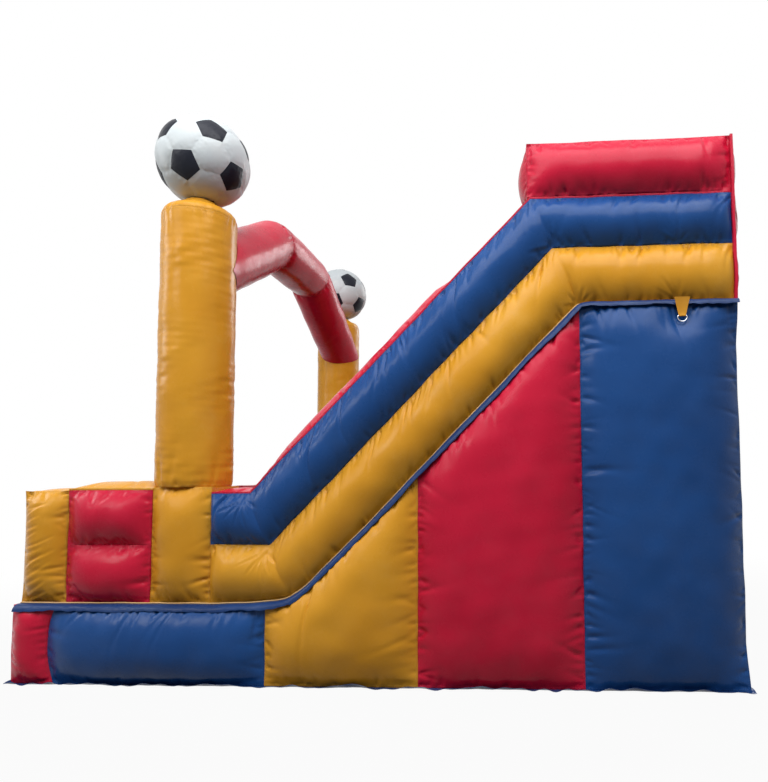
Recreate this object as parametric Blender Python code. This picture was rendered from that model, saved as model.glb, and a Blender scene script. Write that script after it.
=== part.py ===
"""Inflatable football slide: coated fabric air chambers round a landing pit, a climb and a slide.

The children's entrance is at -X and the tall rear at +X. Right is -Y, as seen on going in.
Every air chamber is a skin of fabric, open at the vents that join it to the next one.
"""

import math

import bmesh
import bpy
from mathutils import Matrix, Vector

# Fabric and fits
SKIN = 0.0006
GAP = 0.0003

# Base, with stations along its length taken from its front seam
BASE_LENGTH = 5.045
BASE_HALF_WIDTH = 1.96
BASE_HEIGHT = 0.543
BASE_SWELL = 0.036
BAFFLE_HOLE_PITCH = 0.35
BAFFLE_HOLE_RADIUS = 0.12
BAFFLE_HOLE_Z = 0.28
CUT_DEPTH = 0.02
FRONT_SWELL = 0.015
STEP_TUBE_LENGTH = 0.29
LANDING_END = 1.795
SLOPE_FOOT = 1.97
SLOPE_SEAM = 2.855
SLOPE_ANGLE = math.radians(45.8)
PLATFORM_HEIGHT = 2.603
VENT_WIDTH = 0.4
SEAM_VENT_SHARE = 0.4
SHEET_EDGE = 0.004

# Side walls
WALL_SETBACK = 0.06
WALL_WIDTH = 0.40
UPPER_TUBE_WIDTH = 0.22
LOWER_TUBE = 0.41
UPPER_TUBE = 0.36
CAP_LIP = 0.012
CAP_SWELL = 0.08
SIDE_SWELL = 0.055
INNER_SWELL = 0.03

# Ledge flap along the foot of the walls
LEDGE_CLEARANCE = 0.018
LEDGE_THICKNESS = 0.018

# Guard and back wall round the platform
GUARD_LEAD = 0.348
GUARD_HEIGHT = 0.37
GUARD_END_SWELL = 0.06
GUARD_SAG = 0.01
BACK_WALL_THICKNESS = 0.33
BACK_WALL_SWELL = 0.05
BACK_PANEL_THICKNESS = 0.012
BACK_PANEL_SWELL = 0.036
BACK_PANEL_SETBACK = 0.03

# Low front walls
POST_START = 0.005
POST_LENGTH = 0.313
SIDE_PILLOW_LENGTH = 0.618
COLUMN_BASE_LENGTH = 0.438
COLUMN_BASE_HEIGHT = 0.817
FRONT_WALL_HEIGHT = 0.80
FRONT_CAP_SWELL = 0.05
FRONT_PILLOW_DEPTH = 0.22
ENTRANCE_HALF_WIDTH = 0.75
POST_SWELL = 0.02

# Columns, footballs and arch
COLUMN_LEAD = 0.184
COLUMN_SETBACK = 0.219
COLUMN_RADIUS = 0.267
COLUMN_HEIGHT = 2.18
COLUMN_SHOULDER_RISE = 0.14
COLUMN_SEAT = 0.10
COLUMN_VENT_RADIUS = 0.10
COLUMN_DRAW = 0.012
COLUMN_DRAW_HEIGHT = 0.04
BALL_RADIUS = 0.335
BALL_TURN = math.radians(-88.2)
BALL_TILT = math.radians(119.3)
BALL_SPIN = math.radians(-2.9)
BALL_SHIFT = 0.02
ARCH_RADIUS = 0.228
ARCH_CROWN_Y = 0.455
ARCH_CROWN_RISE = 0.165
ARCH_SHOULDER_INSET = 0.306
ARCH_SHOULDER_DROP = 0.363
ARCH_END_DROP = 0.69
ARCH_VENT_DROP = 0.52
ARCH_VENT_RADIUS = 0.06
ARCH_VENT_DEPTH = 0.2

# Floor pads, lanes and the wall between them
PAD_CLEARANCE = 0.01
PAD_THICKNESS = 0.07
CHANNEL_SWELL = 0.025
LANDING_CHANNELS = 6
SLIDE_CHANNELS = 4
DIVIDER_Y = -0.25
DIVIDER_WIDTH = 0.26
DIVIDER_HEIGHT = 0.42
DIVIDER_SWELL = 0.035
DIVIDER_START = 0.06
STEP_COUNT = 4
STEP_DEPTH = 0.24
STEP_HEIGHT = 0.10
STEP_SWELL = 0.04
STEP_INSET = 0.05

# Anchor tabs and rings
TAB_SETBACK = 0.386
TAB_WIDTH = 0.11
TAB_TIP_WIDTH = 0.046
TAB_DROP = 0.12
STRAP_THICKNESS = 0.0015
RING_WIRE = 0.0064
RING_WIDTH = 0.07
RING_HEIGHT = 0.045
RING_CLEARANCE = 0.0004
RING_CORNER = 0.008
RING_ARC_STEPS = 14
TAB_MEET = 0.012
TAB_BENDS = 6

# Inflation sleeve
SLEEVE_REACH = 0.16
SLEEVE_RADIUS = 0.16
SLEEVE_Y = 0.6
SLEEVE_Z = 0.42
SLEEVE_PORT_MARGIN = 0.0186
HEM_WIDTH = 0.02
HEM_THICKNESS = 0.004
FLANGE_WIDTH = 0.018

# Deflation zip
ZIP_Y = -0.9
ZIP_Z = 0.42
ZIP_LENGTH = 0.60
ZIP_TAPE_HEIGHT = 0.10
ZIP_TAPE_THICKNESS = 0.001
COIL_WIDTH = 0.006
COIL_HEIGHT = 0.003
PIPING_HEIGHT = 0.012
PIPING_WIDTH = 0.012
SLIDER_LENGTH = 0.026
SLIDER_WIDTH = 0.014
SLIDER_HEIGHT = 0.0075
SLIDER_CLEARANCE = 0.0005
PULL_LENGTH = 0.03
PULL_THICKNESS = 0.0015
PULL_WIDTH = 0.007
PULL_SINK = 0.0005
PULL_OVER = 0.018
SLIDER_END_ROOM = 0.01
FLAP_THICKNESS = 0.0012
FLAP_DROP = 0.105

# How finely the shapes are divided
SHARP_ANGLE = math.radians(38)
BASE_PANEL_STEP = 0.45
END_RINGS = (0.80, 0.45)
END_POWER = 2.4
COLUMN_SIDES = 20
ARCH_SIDES = 16
VENT_SIDES = 12
SLEEVE_SIDES = 20
WIRE_SIDES = 8
SHOULDER_ANGLES = [math.radians(angle) for angle in (22, 45, 68, 90)]

# Shares of a length, each with its share of the full swell
PILLOW = ((0, 0), (0.1, 0.75), (0.35, 1), (0.65, 1), (0.9, 0.75), (1, 0))
UPRIGHT = ((0, 0), (0.12, 0.8), (0.5, 1), (0.88, 0.8), (1, 0))
STEP_PROFILE = ((0, 0), (0.1, 0.75), (0.45, 1), (0.55, 1), (0.9, 0.75), (1, 0))
FRONT_CAP_PROFILE = ((0, 0), (0.12, 0.8), (0.4, 1), (0.66, 0.8), (0.78, 0), (1, 0))
PAD_PROFILE = ((0.08, 0.8), (0.35, 1), (0.65, 1), (0.92, 0.8))
FRONT_SHARES = (0, 0.2, 0.85)
SLOPE_SHARES = (0.17, 0.4, 0.65, 0.9)
PLATFORM_SHARES = (0.3, 0.75, 0.94, 1)
TUBE_FADES = (0, 0.8, 1, 0.85, 1, 1, 1, 1, 0.85, 1, 1, 0.8, 0)
CAP_FADES = (0, 0.8, 0.9, 0.85, 1, 1, 1, 1, 0, 0, 0, 0, 0)
COVER_SHARES = (0.2, 0.4, 0.6, 0.8)
LINING_SHARES = (0.25, 0.55, 0.85)

# Values worked out from those above
FLOOR = SKIN + GAP
FRONT_X = FRONT_SWELL - (FRONT_SWELL + BASE_LENGTH + SLEEVE_REACH) / 2
REAR_X = FRONT_X + BASE_LENGTH
SLOPE_RISE = PLATFORM_HEIGHT - BASE_HEIGHT
SLOPE_TOP = SLOPE_FOOT + SLOPE_RISE / math.tan(SLOPE_ANGLE)
SLOPE_RUN = SLOPE_RISE / math.sin(SLOPE_ANGLE)
SHEET_HALF_WIDTH = BASE_HALF_WIDTH + BASE_SWELL + SHEET_EDGE
WALL_HEIGHT = LOWER_TUBE + UPPER_TUBE
WALL_OUTER = BASE_HALF_WIDTH - WALL_SETBACK
WALL_INNER = WALL_OUTER - WALL_WIDTH
WALL_SPLIT = WALL_OUTER - UPPER_TUBE_WIDTH
WALL_MIDDLE = (WALL_OUTER + WALL_INNER) / 2
LEDGE_OUTER = SHEET_HALF_WIDTH
LEDGE_INNER = WALL_OUTER + LEDGE_CLEARANCE
COLUMN_BASE_START = POST_LENGTH + SIDE_PILLOW_LENGTH
WALL_START = COLUMN_BASE_START + COLUMN_BASE_LENGTH
COLUMN_AT = COLUMN_BASE_START + COLUMN_LEAD
COLUMN_Y = WALL_OUTER - COLUMN_SETBACK
COLUMN_BASE_TOP = BASE_HEIGHT + COLUMN_BASE_HEIGHT
COLUMN_TOP = COLUMN_BASE_TOP + COLUMN_HEIGHT
COLUMN_SHOULDER = COLUMN_TOP - COLUMN_SHOULDER_RISE
GUARD_START = SLOPE_TOP - GUARD_LEAD
GUARD_FOOT = PLATFORM_HEIGHT + WALL_HEIGHT + CAP_LIP
GUARD_TOP = GUARD_FOOT + GUARD_HEIGHT
MITRE = Vector((-math.tan(SLOPE_ANGLE / 2), 0, 1))
SLOPE_ALONG = Vector((math.cos(SLOPE_ANGLE), 0, math.sin(SLOPE_ANGLE)))
SLOPE_UP = Vector((-math.sin(SLOPE_ANGLE), 0, math.cos(SLOPE_ANGLE)))
X_AXIS = Vector((1, 0, 0))
Y_AXIS = Vector((0, 1, 0))
Z_AXIS = Vector((0, 0, 1))
SIDES = {"right": -1, "left": 1}

# For each sweep axis: along, across and up, then the faces at its ends and round its section
SWEEP_FRAMES = {
    "x": (X_AXIS, Y_AXIS, Z_AXIS, ("front", "rear", "bottom", "left", "top", "right")),
    "y": (Y_AXIS, X_AXIS, Z_AXIS, ("right", "left", "bottom", "rear", "top", "front")),
    "z": (Z_AXIS, X_AXIS, Y_AXIS, ("bottom", "top", "right", "rear", "left", "front")),
}

# Colours as linear values, with roughness and metallic
FINISHES = {
    "yellow": ((0.66, 0.30, 0.022), 0.32, 0.0),
    "red": ((0.45, 0.013, 0.035), 0.32, 0.0),
    "blue": ((0.016, 0.050, 0.185), 0.32, 0.0),
    "navy": ((0.006, 0.020, 0.075), 0.45, 0.0),
    "white": ((0.72, 0.75, 0.76), 0.32, 0.0),
    "webbing": ((0.60, 0.27, 0.03), 0.7, 0.0),
    "steel": ((0.60, 0.60, 0.62), 0.25, 1.0),
}


def at(station):
    """The X of a distance from the base's front seam."""
    return FRONT_X + station


def material(name):
    found = bpy.data.materials.get(name)
    if found:
        return found
    colour, roughness, metallic = FINISHES[name]
    made = bpy.data.materials.new(name)
    made.use_nodes = True
    shader = made.node_tree.nodes["Principled BSDF"]
    shader.inputs["Base Color"].default_value = (*colour, 1)
    shader.inputs["Roughness"].default_value = roughness
    shader.inputs["Metallic"].default_value = metallic
    made.diffuse_color = (*colour, 1)
    return made


def add_node(name, bm, finish, pivot=None):
    """Make an object of a mesh, with its origin on pivot where it moves."""
    if pivot:
        bmesh.ops.translate(bm, verts=bm.verts[:], vec=-Vector(pivot))
    mesh = bpy.data.meshes.new(name)
    bm.to_mesh(mesh)
    bm.free()
    mesh.shade_smooth()
    mesh.set_sharp_from_angle(angle=SHARP_ANGLE)
    obj = bpy.data.objects.new(name, mesh)
    bpy.context.collection.objects.link(obj)
    mesh.materials.append(material(finish))
    if pivot:
        obj.location = pivot
    return obj


def add_operand(name, bm, target, operation):
    """Join a hidden shape to a node, or cut it from the node."""
    shape = add_node(name, bm, "navy")
    shape.hide_render = True
    shape.display_type = "WIRE"
    joined = target.modifiers.new(name, "BOOLEAN")
    joined.operation = operation
    joined.solver = "EXACT"
    joined.object = shape


def add_chamber(name, bm, finish, vents):
    """Make an air chamber: open its mesh at the face nearest each vent, and give it its skin."""
    bmesh.ops.recalc_face_normals(bm, faces=bm.faces[:])
    for vent in vents:
        nearest = min(bm.faces, key=lambda face: (face.calc_center_median() - vent).length)
        bmesh.ops.delete(bm, geom=[nearest], context="FACES_ONLY")
    add_skin(add_node(name, bm, finish))


def add_skin(chamber):
    skin = chamber.modifiers.new("skin", "SOLIDIFY")
    skin.thickness = SKIN
    skin.offset = -1


def box_section(width, height, swells, steps, channels=1, low=0.0):
    """A box outline and how far each of its points swells, anticlockwise from the lower left.

    swells and steps are for the bottom, right, top and left sides, and the top side may
    have several channels.
    """
    left, right, top = -width / 2, width / 2, low + height
    corners = [(left, low), (right, low), (right, top), (left, top)]
    normals = [(0, -1), (1, 0), (0, 1), (-1, 0)]
    outline, swelling = [], []
    for side, normal in enumerate(normals):
        start, end = corners[side], corners[(side + 1) % 4]
        repeats = channels if side == 2 else 1
        for step in range(steps[side]):
            along = step / steps[side]
            across = (along * repeats) % 1
            bulge = swells[side] * (1 - (2 * across - 1) ** 2)
            outline.append([a + (b - a) * along for a, b in zip(start, end)])
            swelling.append([bulge * part for part in normal])
    return outline, swelling


def cap_section(height, low, swell):
    """The L outline of the fabric that covers a wall's top and its inner face."""
    outer, inner = -WALL_WIDTH / 2, WALL_WIDTH / 2
    split = outer + UPPER_TUBE_WIDTH + GAP
    lip = height + CAP_LIP
    outline = [(split, low), (inner, low)]
    swelling = [(0, 0), (0, 0)]
    for along in LINING_SHARES:
        outline.append((inner, low + (lip - low) * along))
        swelling.append((INNER_SWELL * (1 - (2 * along - 1) ** 2), 0))
    outline.append((inner, lip))
    swelling.append((0, 0))
    for along in COVER_SHARES:
        outline.append((inner + (outer - inner) * along, lip))
        swelling.append((0, swell * (1 - (2 * along - 1) ** 2)))
    outline += [(outer, lip), (outer, height), (split, height)]
    swelling += [(0, 0), (0, 0), (0, 0)]
    return outline, swelling


def round_section(radius, sides):
    """A circle about its own middle."""
    turns = [2 * math.pi * side / sides for side in range(sides)]
    outline = [(radius * math.cos(turn), radius * math.sin(turn)) for turn in turns]
    return outline, [(0, 0)] * sides


def add_rod(bm, middle, axis, radius, depth, sides):
    """A plain round rod about a middle, for cutting."""
    turn = Z_AXIS.rotation_difference(axis).to_matrix().to_4x4()
    bmesh.ops.create_cone(
        bm, cap_ends=True, segments=sides, radius1=radius, radius2=radius, depth=depth,
        matrix=Matrix.Translation(middle) @ turn,
    )


def add_ring(bm, section, station):
    origin, across, up, fade = station
    ring = []
    for (u, v), (du, dv) in zip(*section):
        ring.append(bm.verts.new(origin + across * (u + fade * du) + up * (v + fade * dv)))
    return ring


def join_rings(bm, first, second):
    for i in range(len(first)):
        j = (i + 1) % len(first)
        bm.faces.new((first[i], first[j], second[j], second[i]))


def area_middle(points):
    """The middle of a flat outline's area."""
    first = points[0]
    fans = [((a - first).cross(b - first), (first + a + b) / 3)
            for a, b in zip(points[1:], points[2:])]
    whole = sum((fan for fan, middle in fans), Vector())
    weighted = [middle * fan.dot(whole) / whole.length_squared for fan, middle in fans]
    return sum(weighted, Vector())


def close_end(bm, ring, outward, swell):
    """Close a ring with one flat face, or with a crowned end of shrinking rings."""
    if swell == 0:
        bm.faces.new(ring)
        return
    rim = [vert.co.copy() for vert in ring]
    middle = area_middle(rim)
    for share in END_RINGS:
        rise = outward * swell * (1 - share**END_POWER)
        inner = [bm.verts.new(middle + (point - middle) * share + rise) for point in rim]
        join_rings(bm, ring, inner)
        ring = inner
    peak = bm.verts.new(middle + outward * swell)
    for i in range(len(ring)):
        bm.faces.new((ring[i], ring[(i + 1) % len(ring)], peak))


def start_vent(section, stations):
    """A vent that takes the whole flat face at the start of a sweep."""
    origin, across, up, fade = stations[0]
    points = [across * u + up * v for u, v in section[0]]
    return origin + sum(points, Vector()) / len(points)


def sweep(section, stations, start_swell=0, end_swell=0):
    """Carry a section through its stations and close both ends."""
    bm = bmesh.new()
    rings = [add_ring(bm, section, station) for station in stations]
    for first, second in zip(rings, rings[1:]):
        join_rings(bm, first, second)
    start_out = (stations[0][0] - stations[1][0]).normalized()
    end_out = (stations[-1][0] - stations[-2][0]).normalized()
    close_end(bm, rings[0], start_out, start_swell)
    close_end(bm, rings[-1], end_out, end_swell)
    return bm


def box_chamber(name, low, high, axis, swells, finish, vents, steps=3, profile=PILLOW):
    """An air chamber that fills a box, whose named faces swell, swept along one axis."""
    low, high = Vector(low), Vector(high)
    along, across, up, faces = SWEEP_FRAMES[axis]
    size = high - low
    start, end, *sides = faces
    side_swells = [swells.get(face, 0) for face in sides]
    counts = [steps if swell else 1 for swell in side_swells]
    section = box_section(size.dot(across), size.dot(up), side_swells, counts)
    origin = low + across * size.dot(across) / 2
    length = size.dot(along)
    stations = [(origin + along * length * share, across, up, fade) for share, fade in profile]
    bm = sweep(section, stations, swells.get(start, 0), swells.get(end, 0))
    add_chamber(name, bm, finish, [Vector(vent) for vent in vents])


def side_box(side, name, x_range, depth_range, z_range, axis, swells, finish, vents, **more):
    """A box chamber on one side, with its depths and its outer and inner faces taken outwards."""
    sign = SIDES[side]
    ys = sorted(sign * depth for depth in depth_range)
    named = {"outer": side, "inner": "left" if side == "right" else "right"}
    swells = {named.get(face, face): swell for face, swell in swells.items()}
    low = (x_range[0], ys[0], z_range[0])
    high = (x_range[1], ys[1], z_range[1])
    vents = [(x, sign * depth, z) for x, depth, z in vents]
    box_chamber(f"{name}_{side}", low, high, axis, swells, finish, vents, **more)


def resample(corners, longest):
    """Divide a closed outline's edges evenly, so that none is much longer than longest."""
    points = []
    for start, end in zip(corners, corners[1:] + corners[:1]):
        steps = max(1, round(math.dist(start, end) / longest))
        for step in range(steps):
            points.append([a + (b - a) * step / steps for a, b in zip(start, end)])
    return points


def inset(corners, distance):
    """An anticlockwise outline moved inwards by a distance, with mitred corners."""
    moved = []
    for i, corner in enumerate(corners):
        point = Vector(corner)
        before = (point - Vector(corners[i - 1])).normalized()
        after = (Vector(corners[(i + 1) % len(corners)]) - point).normalized()
        normals = [Vector((-edge.y, edge.x)) for edge in (before, after)]
        bisector = normals[0] + normals[1]
        moved.append(point + bisector * distance / (1 + normals[0].dot(normals[1])))
    return moved


# Base

def seam_vent(station, height):
    """A point in the vent of an upright seam of the base."""
    return Vector((at(station), 0, height * SEAM_VENT_SHARE))


def base_part(name, finish, corners, vents, port_ys=()):
    """A base chamber from its side outline, with crowned side panels, and the web inside it."""
    outline = resample(inset(corners, GAP / 2), BASE_PANEL_STEP)
    section = (outline, [(0, 0)] * len(outline))
    half_vent = VENT_WIDTH / 2
    ys = sorted([-BASE_HALF_WIDTH, -half_vent, half_vent, BASE_HALF_WIDTH, *port_ys])
    stations = [(Y_AXIS * y, X_AXIS, Z_AXIS, 0) for y in ys]
    bm = sweep(section, stations, BASE_SWELL, BASE_SWELL)
    add_chamber(name.format("chamber"), bm, finish, vents)
    make_baffle(name.format("baffle"), corners)


def make_base():
    make_ground_sheet()
    step_vent = seam_vent(STEP_TUBE_LENGTH, BASE_HEIGHT)
    box_chamber(
        "front_step_tube", (at(0), -BASE_HALF_WIDTH, FLOOR),
        (at(STEP_TUBE_LENGTH) - GAP / 2, BASE_HALF_WIDTH, BASE_HEIGHT), "y",
        {"front": FRONT_SWELL, "right": BASE_SWELL, "left": BASE_SWELL}, "red",
        [step_vent], steps=4, profile=STEP_PROFILE,
    )
    step, landing = at(STEP_TUBE_LENGTH), at(LANDING_END)
    seam, top = at(SLOPE_SEAM), at(SLOPE_TOP)
    seam_height = BASE_HEIGHT + (SLOPE_SEAM - SLOPE_FOOT) * math.tan(SLOPE_ANGLE)
    landing_vent = seam_vent(LANDING_END, BASE_HEIGHT)
    slope_vent = seam_vent(SLOPE_SEAM, seam_height)
    tower_vent = seam_vent(SLOPE_TOP, PLATFORM_HEIGHT)
    low, high = FLOOR, BASE_HEIGHT
    base_part(
        "landing_{}", "blue", [(step, low), (landing, low), (landing, high), (step, high)],
        [step_vent, landing_vent],
    )
    foot = (at(SLOPE_FOOT), high)
    base_part(
        "slope_{}_low", "yellow",
        [(landing, low), (seam, low), (seam, seam_height), foot, (landing, high)],
        [landing_vent, slope_vent],
    )
    base_part(
        "slope_{}_high", "red",
        [(seam, low), (top, low), (top, PLATFORM_HEIGHT), (seam, seam_height)],
        [slope_vent, tower_vent],
    )
    half_port = (SLEEVE_RADIUS - SLEEVE_PORT_MARGIN) / math.sqrt(2)
    port = [(REAR_X, SLEEVE_Z - half_port), (REAR_X, SLEEVE_Z + half_port)]
    base_part(
        "tower_{}", "blue",
        [(top, low), (REAR_X, low), *port, (REAR_X, PLATFORM_HEIGHT), (top, PLATFORM_HEIGHT)],
        [tower_vent, Vector((REAR_X, SLEEVE_Y, SLEEVE_Z))],
        (SLEEVE_Y - half_port, SLEEVE_Y + half_port),
    )


def make_ground_sheet():
    bm = bmesh.new()
    size = (BASE_LENGTH + FRONT_SWELL, 2 * SHEET_HALF_WIDTH, SKIN)
    middle = Vector(((at(-FRONT_SWELL) + REAR_X) / 2, 0, SKIN / 2))
    bmesh.ops.create_cube(bm, matrix=Matrix.Translation(middle) @ Matrix.Diagonal((*size, 1)))
    add_node("ground_sheet", bm, "navy")


def make_baffle(name, corners):
    """The web that ties a chamber's top to its floor, with round holes for the air."""
    outline = inset(corners, GAP / 2 + SKIN + GAP)
    bm = bmesh.new()
    face = bm.faces.new([bm.verts.new((point.x, -SKIN / 2, point.y)) for point in outline])
    moved = bmesh.ops.extrude_face_region(bm, geom=[face])
    verts = [item for item in moved["geom"] if isinstance(item, bmesh.types.BMVert)]
    bmesh.ops.translate(bm, verts=verts, vec=(0, SKIN, 0))
    bmesh.ops.recalc_face_normals(bm, faces=bm.faces[:])
    web = add_node(name, bm, "navy")
    low_x = min(point.x for point in outline)
    length = max(point.x for point in outline) - low_x
    count = int(length / BAFFLE_HOLE_PITCH)
    holes = bmesh.new()
    for hole in range(count):
        place = Vector((low_x + length * (hole + 0.5) / count, 0, BAFFLE_HOLE_Z))
        add_rod(holes, place, Y_AXIS, BAFFLE_HOLE_RADIUS, CUT_DEPTH, VENT_SIDES)
    add_operand(f"{name}_holes", holes, web, "DIFFERENCE")


# Walls

def wall_path():
    """Points along the ledge line with the direction across the wall's height at each."""
    start, foot, top = at(WALL_START), at(SLOPE_FOOT), at(SLOPE_TOP)
    free = foot - (WALL_HEIGHT + CAP_SWELL) * math.tan(SLOPE_ANGLE / 2) - start
    path = [(Vector((start + free * share, 0, BASE_HEIGHT)), Z_AXIS) for share in FRONT_SHARES]
    corner = Vector((foot, 0, BASE_HEIGHT))
    path.append((corner, MITRE))
    for share in SLOPE_SHARES:
        path.append((corner + SLOPE_ALONG * SLOPE_RUN * share, SLOPE_UP))
    path.append((Vector((top, 0, PLATFORM_HEIGHT)), MITRE))
    for share in PLATFORM_SHARES:
        path.append((Vector((top + (REAR_X - top) * share, 0, PLATFORM_HEIGHT)), Z_AXIS))
    return path


def wall_piece(side, name, section, middle, fades, finish):
    """Carry a section along the wall, with its middle at a depth out from the centre line.

    Its front end is open to the column's base.
    """
    sign = SIDES[side]
    inwards = Y_AXIS * -sign
    stations = [
        (point + Y_AXIS * sign * middle, inwards, up, fade)
        for (point, up), fade in zip(wall_path(), fades)
    ]
    vent = start_vent(section, stations)
    add_chamber(f"{name}_{side}", sweep(section, stations), finish, [vent])


def make_walls(side):
    lower = box_section(
        WALL_WIDTH, LOWER_TUBE - 2 * GAP, (0, INNER_SWELL, 0, SIDE_SWELL), (1, 3, 1, 4), low=GAP
    )
    wall_piece(side, "wall_lower_tube", lower, WALL_MIDDLE, TUBE_FADES, "yellow")
    upper = box_section(
        UPPER_TUBE_WIDTH, UPPER_TUBE - GAP, (0, 0, 0, SIDE_SWELL), (1, 1, 1, 4), low=LOWER_TUBE
    )
    upper_middle = (WALL_OUTER + WALL_SPLIT) / 2
    wall_piece(side, "wall_upper_tube", upper, upper_middle, TUBE_FADES, "blue")
    cap = cap_section(WALL_HEIGHT, LOWER_TUBE, CAP_SWELL)
    wall_piece(side, "wall_cap", cap, WALL_MIDDLE, CAP_FADES, "red")
    make_ledge(side)
    make_guard(side)


def make_ledge(side):
    """The flap of fabric along the foot of the walls, from the front to the rear."""
    sign = SIDES[side]
    width = LEDGE_OUTER - LEDGE_INNER
    section = box_section(width, LEDGE_THICKNESS, (0, 0, 0, 0), (1, 1, 1, 1), low=GAP)
    middle = Y_AXIS * sign * (LEDGE_OUTER + LEDGE_INNER) / 2
    path = [
        (Vector((at(0), 0, BASE_HEIGHT)), Z_AXIS),
        (Vector((at(SLOPE_FOOT), 0, BASE_HEIGHT)), MITRE),
        (Vector((at(SLOPE_TOP), 0, PLATFORM_HEIGHT)), MITRE),
        (Vector((REAR_X, 0, PLATFORM_HEIGHT)), Z_AXIS),
    ]
    bm = sweep(section, [(point + middle, Y_AXIS * -sign, up, 0) for point, up in path])
    bmesh.ops.recalc_face_normals(bm, faces=bm.faces[:])
    add_node(f"ledge_flap_{side}", bm, "blue")


def make_guard(side):
    low = GUARD_FOOT + GAP
    side_box(
        side, "guard_tube", (at(GUARD_START), REAR_X), (WALL_INNER, WALL_OUTER),
        (low, GUARD_TOP), "x",
        {"outer": SIDE_SWELL, "inner": INNER_SWELL, "front": GUARD_END_SWELL, "top": GUARD_SAG},
        "red", [((at(GUARD_START) + REAR_X) / 2, WALL_MIDDLE, low)], steps=4,
    )


def make_back_wall():
    half = WALL_INNER - INNER_SWELL - GAP
    low = PLATFORM_HEIGHT + GAP
    top = GUARD_TOP
    box_chamber(
        "back_wall", (REAR_X - BACK_WALL_THICKNESS, -half, low), (REAR_X, half, top), "y",
        {"front": BACK_WALL_SWELL, "top": GUARD_SAG}, "red",
        [(REAR_X - BACK_WALL_THICKNESS / 2, 0, low)], steps=4,
    )
    panel_half = BASE_HALF_WIDTH - BACK_PANEL_SETBACK
    box_chamber(
        "back_wall_panel", (REAR_X + GAP, -panel_half, low),
        (REAR_X + GAP + BACK_PANEL_THICKNESS, panel_half, top), "y",
        {"rear": BACK_PANEL_SWELL}, "red",
        [(REAR_X, 0, (low + top) / 2)], steps=6,
    )


# Low front walls

def make_front_wall(side):
    low = BASE_HEIGHT + GAP
    top = BASE_HEIGHT + FRONT_WALL_HEIGHT
    middle = BASE_HEIGHT + LOWER_TUBE
    post_end, base_start = at(POST_LENGTH), at(COLUMN_BASE_START)
    side_box(
        side, "front_post", (at(POST_START), post_end - GAP), (WALL_INNER, WALL_OUTER),
        (low, top), "z",
        {"outer": SIDE_SWELL, "front": POST_SWELL, "top": POST_SWELL}, "yellow",
        [((at(0) + post_end) / 2, WALL_MIDDLE, low)], profile=UPRIGHT,
    )
    rows = (("lower", low, middle - GAP), ("upper", middle, top - GAP))
    for name, bottom, height in rows:
        side_box(
            side, f"side_pillow_{name}", (post_end, base_start), (WALL_SPLIT, WALL_OUTER),
            (bottom, height), "x", {"outer": SIDE_SWELL}, "red",
            [(post_end, (WALL_SPLIT + WALL_OUTER) / 2, (bottom + height) / 2)], steps=4,
        )
    make_front_cap(side, post_end, base_start)
    side_box(
        side, "column_base", (base_start + GAP, at(WALL_START) - GAP), (WALL_INNER, WALL_OUTER),
        (low, COLUMN_BASE_TOP), "z", {"outer": SIDE_SWELL, "inner": INNER_SWELL}, "yellow",
        [((base_start + at(WALL_START)) / 2, WALL_MIDDLE, low)], profile=UPRIGHT,
    )
    front = at(POST_START)
    depth = WALL_INNER - GAP
    for name, bottom, height in rows:
        side_box(
            side, f"front_pillow_{name}", (front, front + FRONT_PILLOW_DEPTH),
            (ENTRANCE_HALF_WIDTH, depth), (bottom, height), "y",
            {"front": POST_SWELL, "rear": INNER_SWELL, "inner": INNER_SWELL}, "red",
            [(front + FRONT_PILLOW_DEPTH / 2, depth, (bottom + height) / 2)],
        )


def make_front_cap(side, start, end):
    """Fabric over the top and the inner face of the low wall between the post and the column."""
    sign = SIDES[side]
    length = end - start - 2 * GAP
    section = cap_section(FRONT_WALL_HEIGHT, GAP, FRONT_CAP_SWELL)
    stations = []
    for share, fade in FRONT_CAP_PROFILE:
        origin = Vector((start + GAP + length * share, sign * WALL_MIDDLE, BASE_HEIGHT))
        stations.append((origin, Y_AXIS * -sign, Z_AXIS, fade))
    vent = start_vent(section, stations)
    add_chamber(f"front_wall_cap_{side}", sweep(section, stations), "yellow", [vent])


# Columns, footballs and arch

def make_column(side):
    """An upright round chamber with a drawn-in shoulder, turned from its profile."""
    middle = Vector((at(COLUMN_AT), SIDES[side] * COLUMN_Y, 0))
    low = COLUMN_BASE_TOP + GAP
    rise = COLUMN_TOP - COLUMN_SHOULDER
    profile = [
        (COLUMN_VENT_RADIUS, low), (COLUMN_RADIUS - COLUMN_DRAW, low),
        (COLUMN_RADIUS, low + COLUMN_DRAW_HEIGHT), (COLUMN_RADIUS, COLUMN_SHOULDER),
    ]
    for angle in SHOULDER_ANGLES:
        out = (COLUMN_RADIUS - COLUMN_SEAT) * math.cos(angle)
        profile.append((COLUMN_SEAT + out, COLUMN_SHOULDER + rise * math.sin(angle)))
    bm = turned(profile, COLUMN_SIDES, middle)
    bmesh.ops.holes_fill(bm, edges=bm.edges[:], sides=COLUMN_SIDES)
    add_chamber(f"column_{side}", bm, "yellow", [middle + Z_AXIS * low])


def turned(profile, sides, middle, axis=Z_AXIS, across=X_AXIS):
    """Turn a profile of radius and height points about an axis through middle."""
    bm = bmesh.new()
    verts = [bm.verts.new(middle + across * r + axis * h) for r, h in profile]
    edges = [bm.edges.new(pair) for pair in zip(verts, verts[1:])]
    bmesh.ops.spin(
        bm, geom=verts + edges, cent=middle, axis=axis, angle=2 * math.pi, steps=sides,
        use_merge=True, use_normal_flip=True,
    )
    bmesh.ops.remove_doubles(bm, verts=bm.verts[:], dist=1e-5)
    return bm


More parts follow.
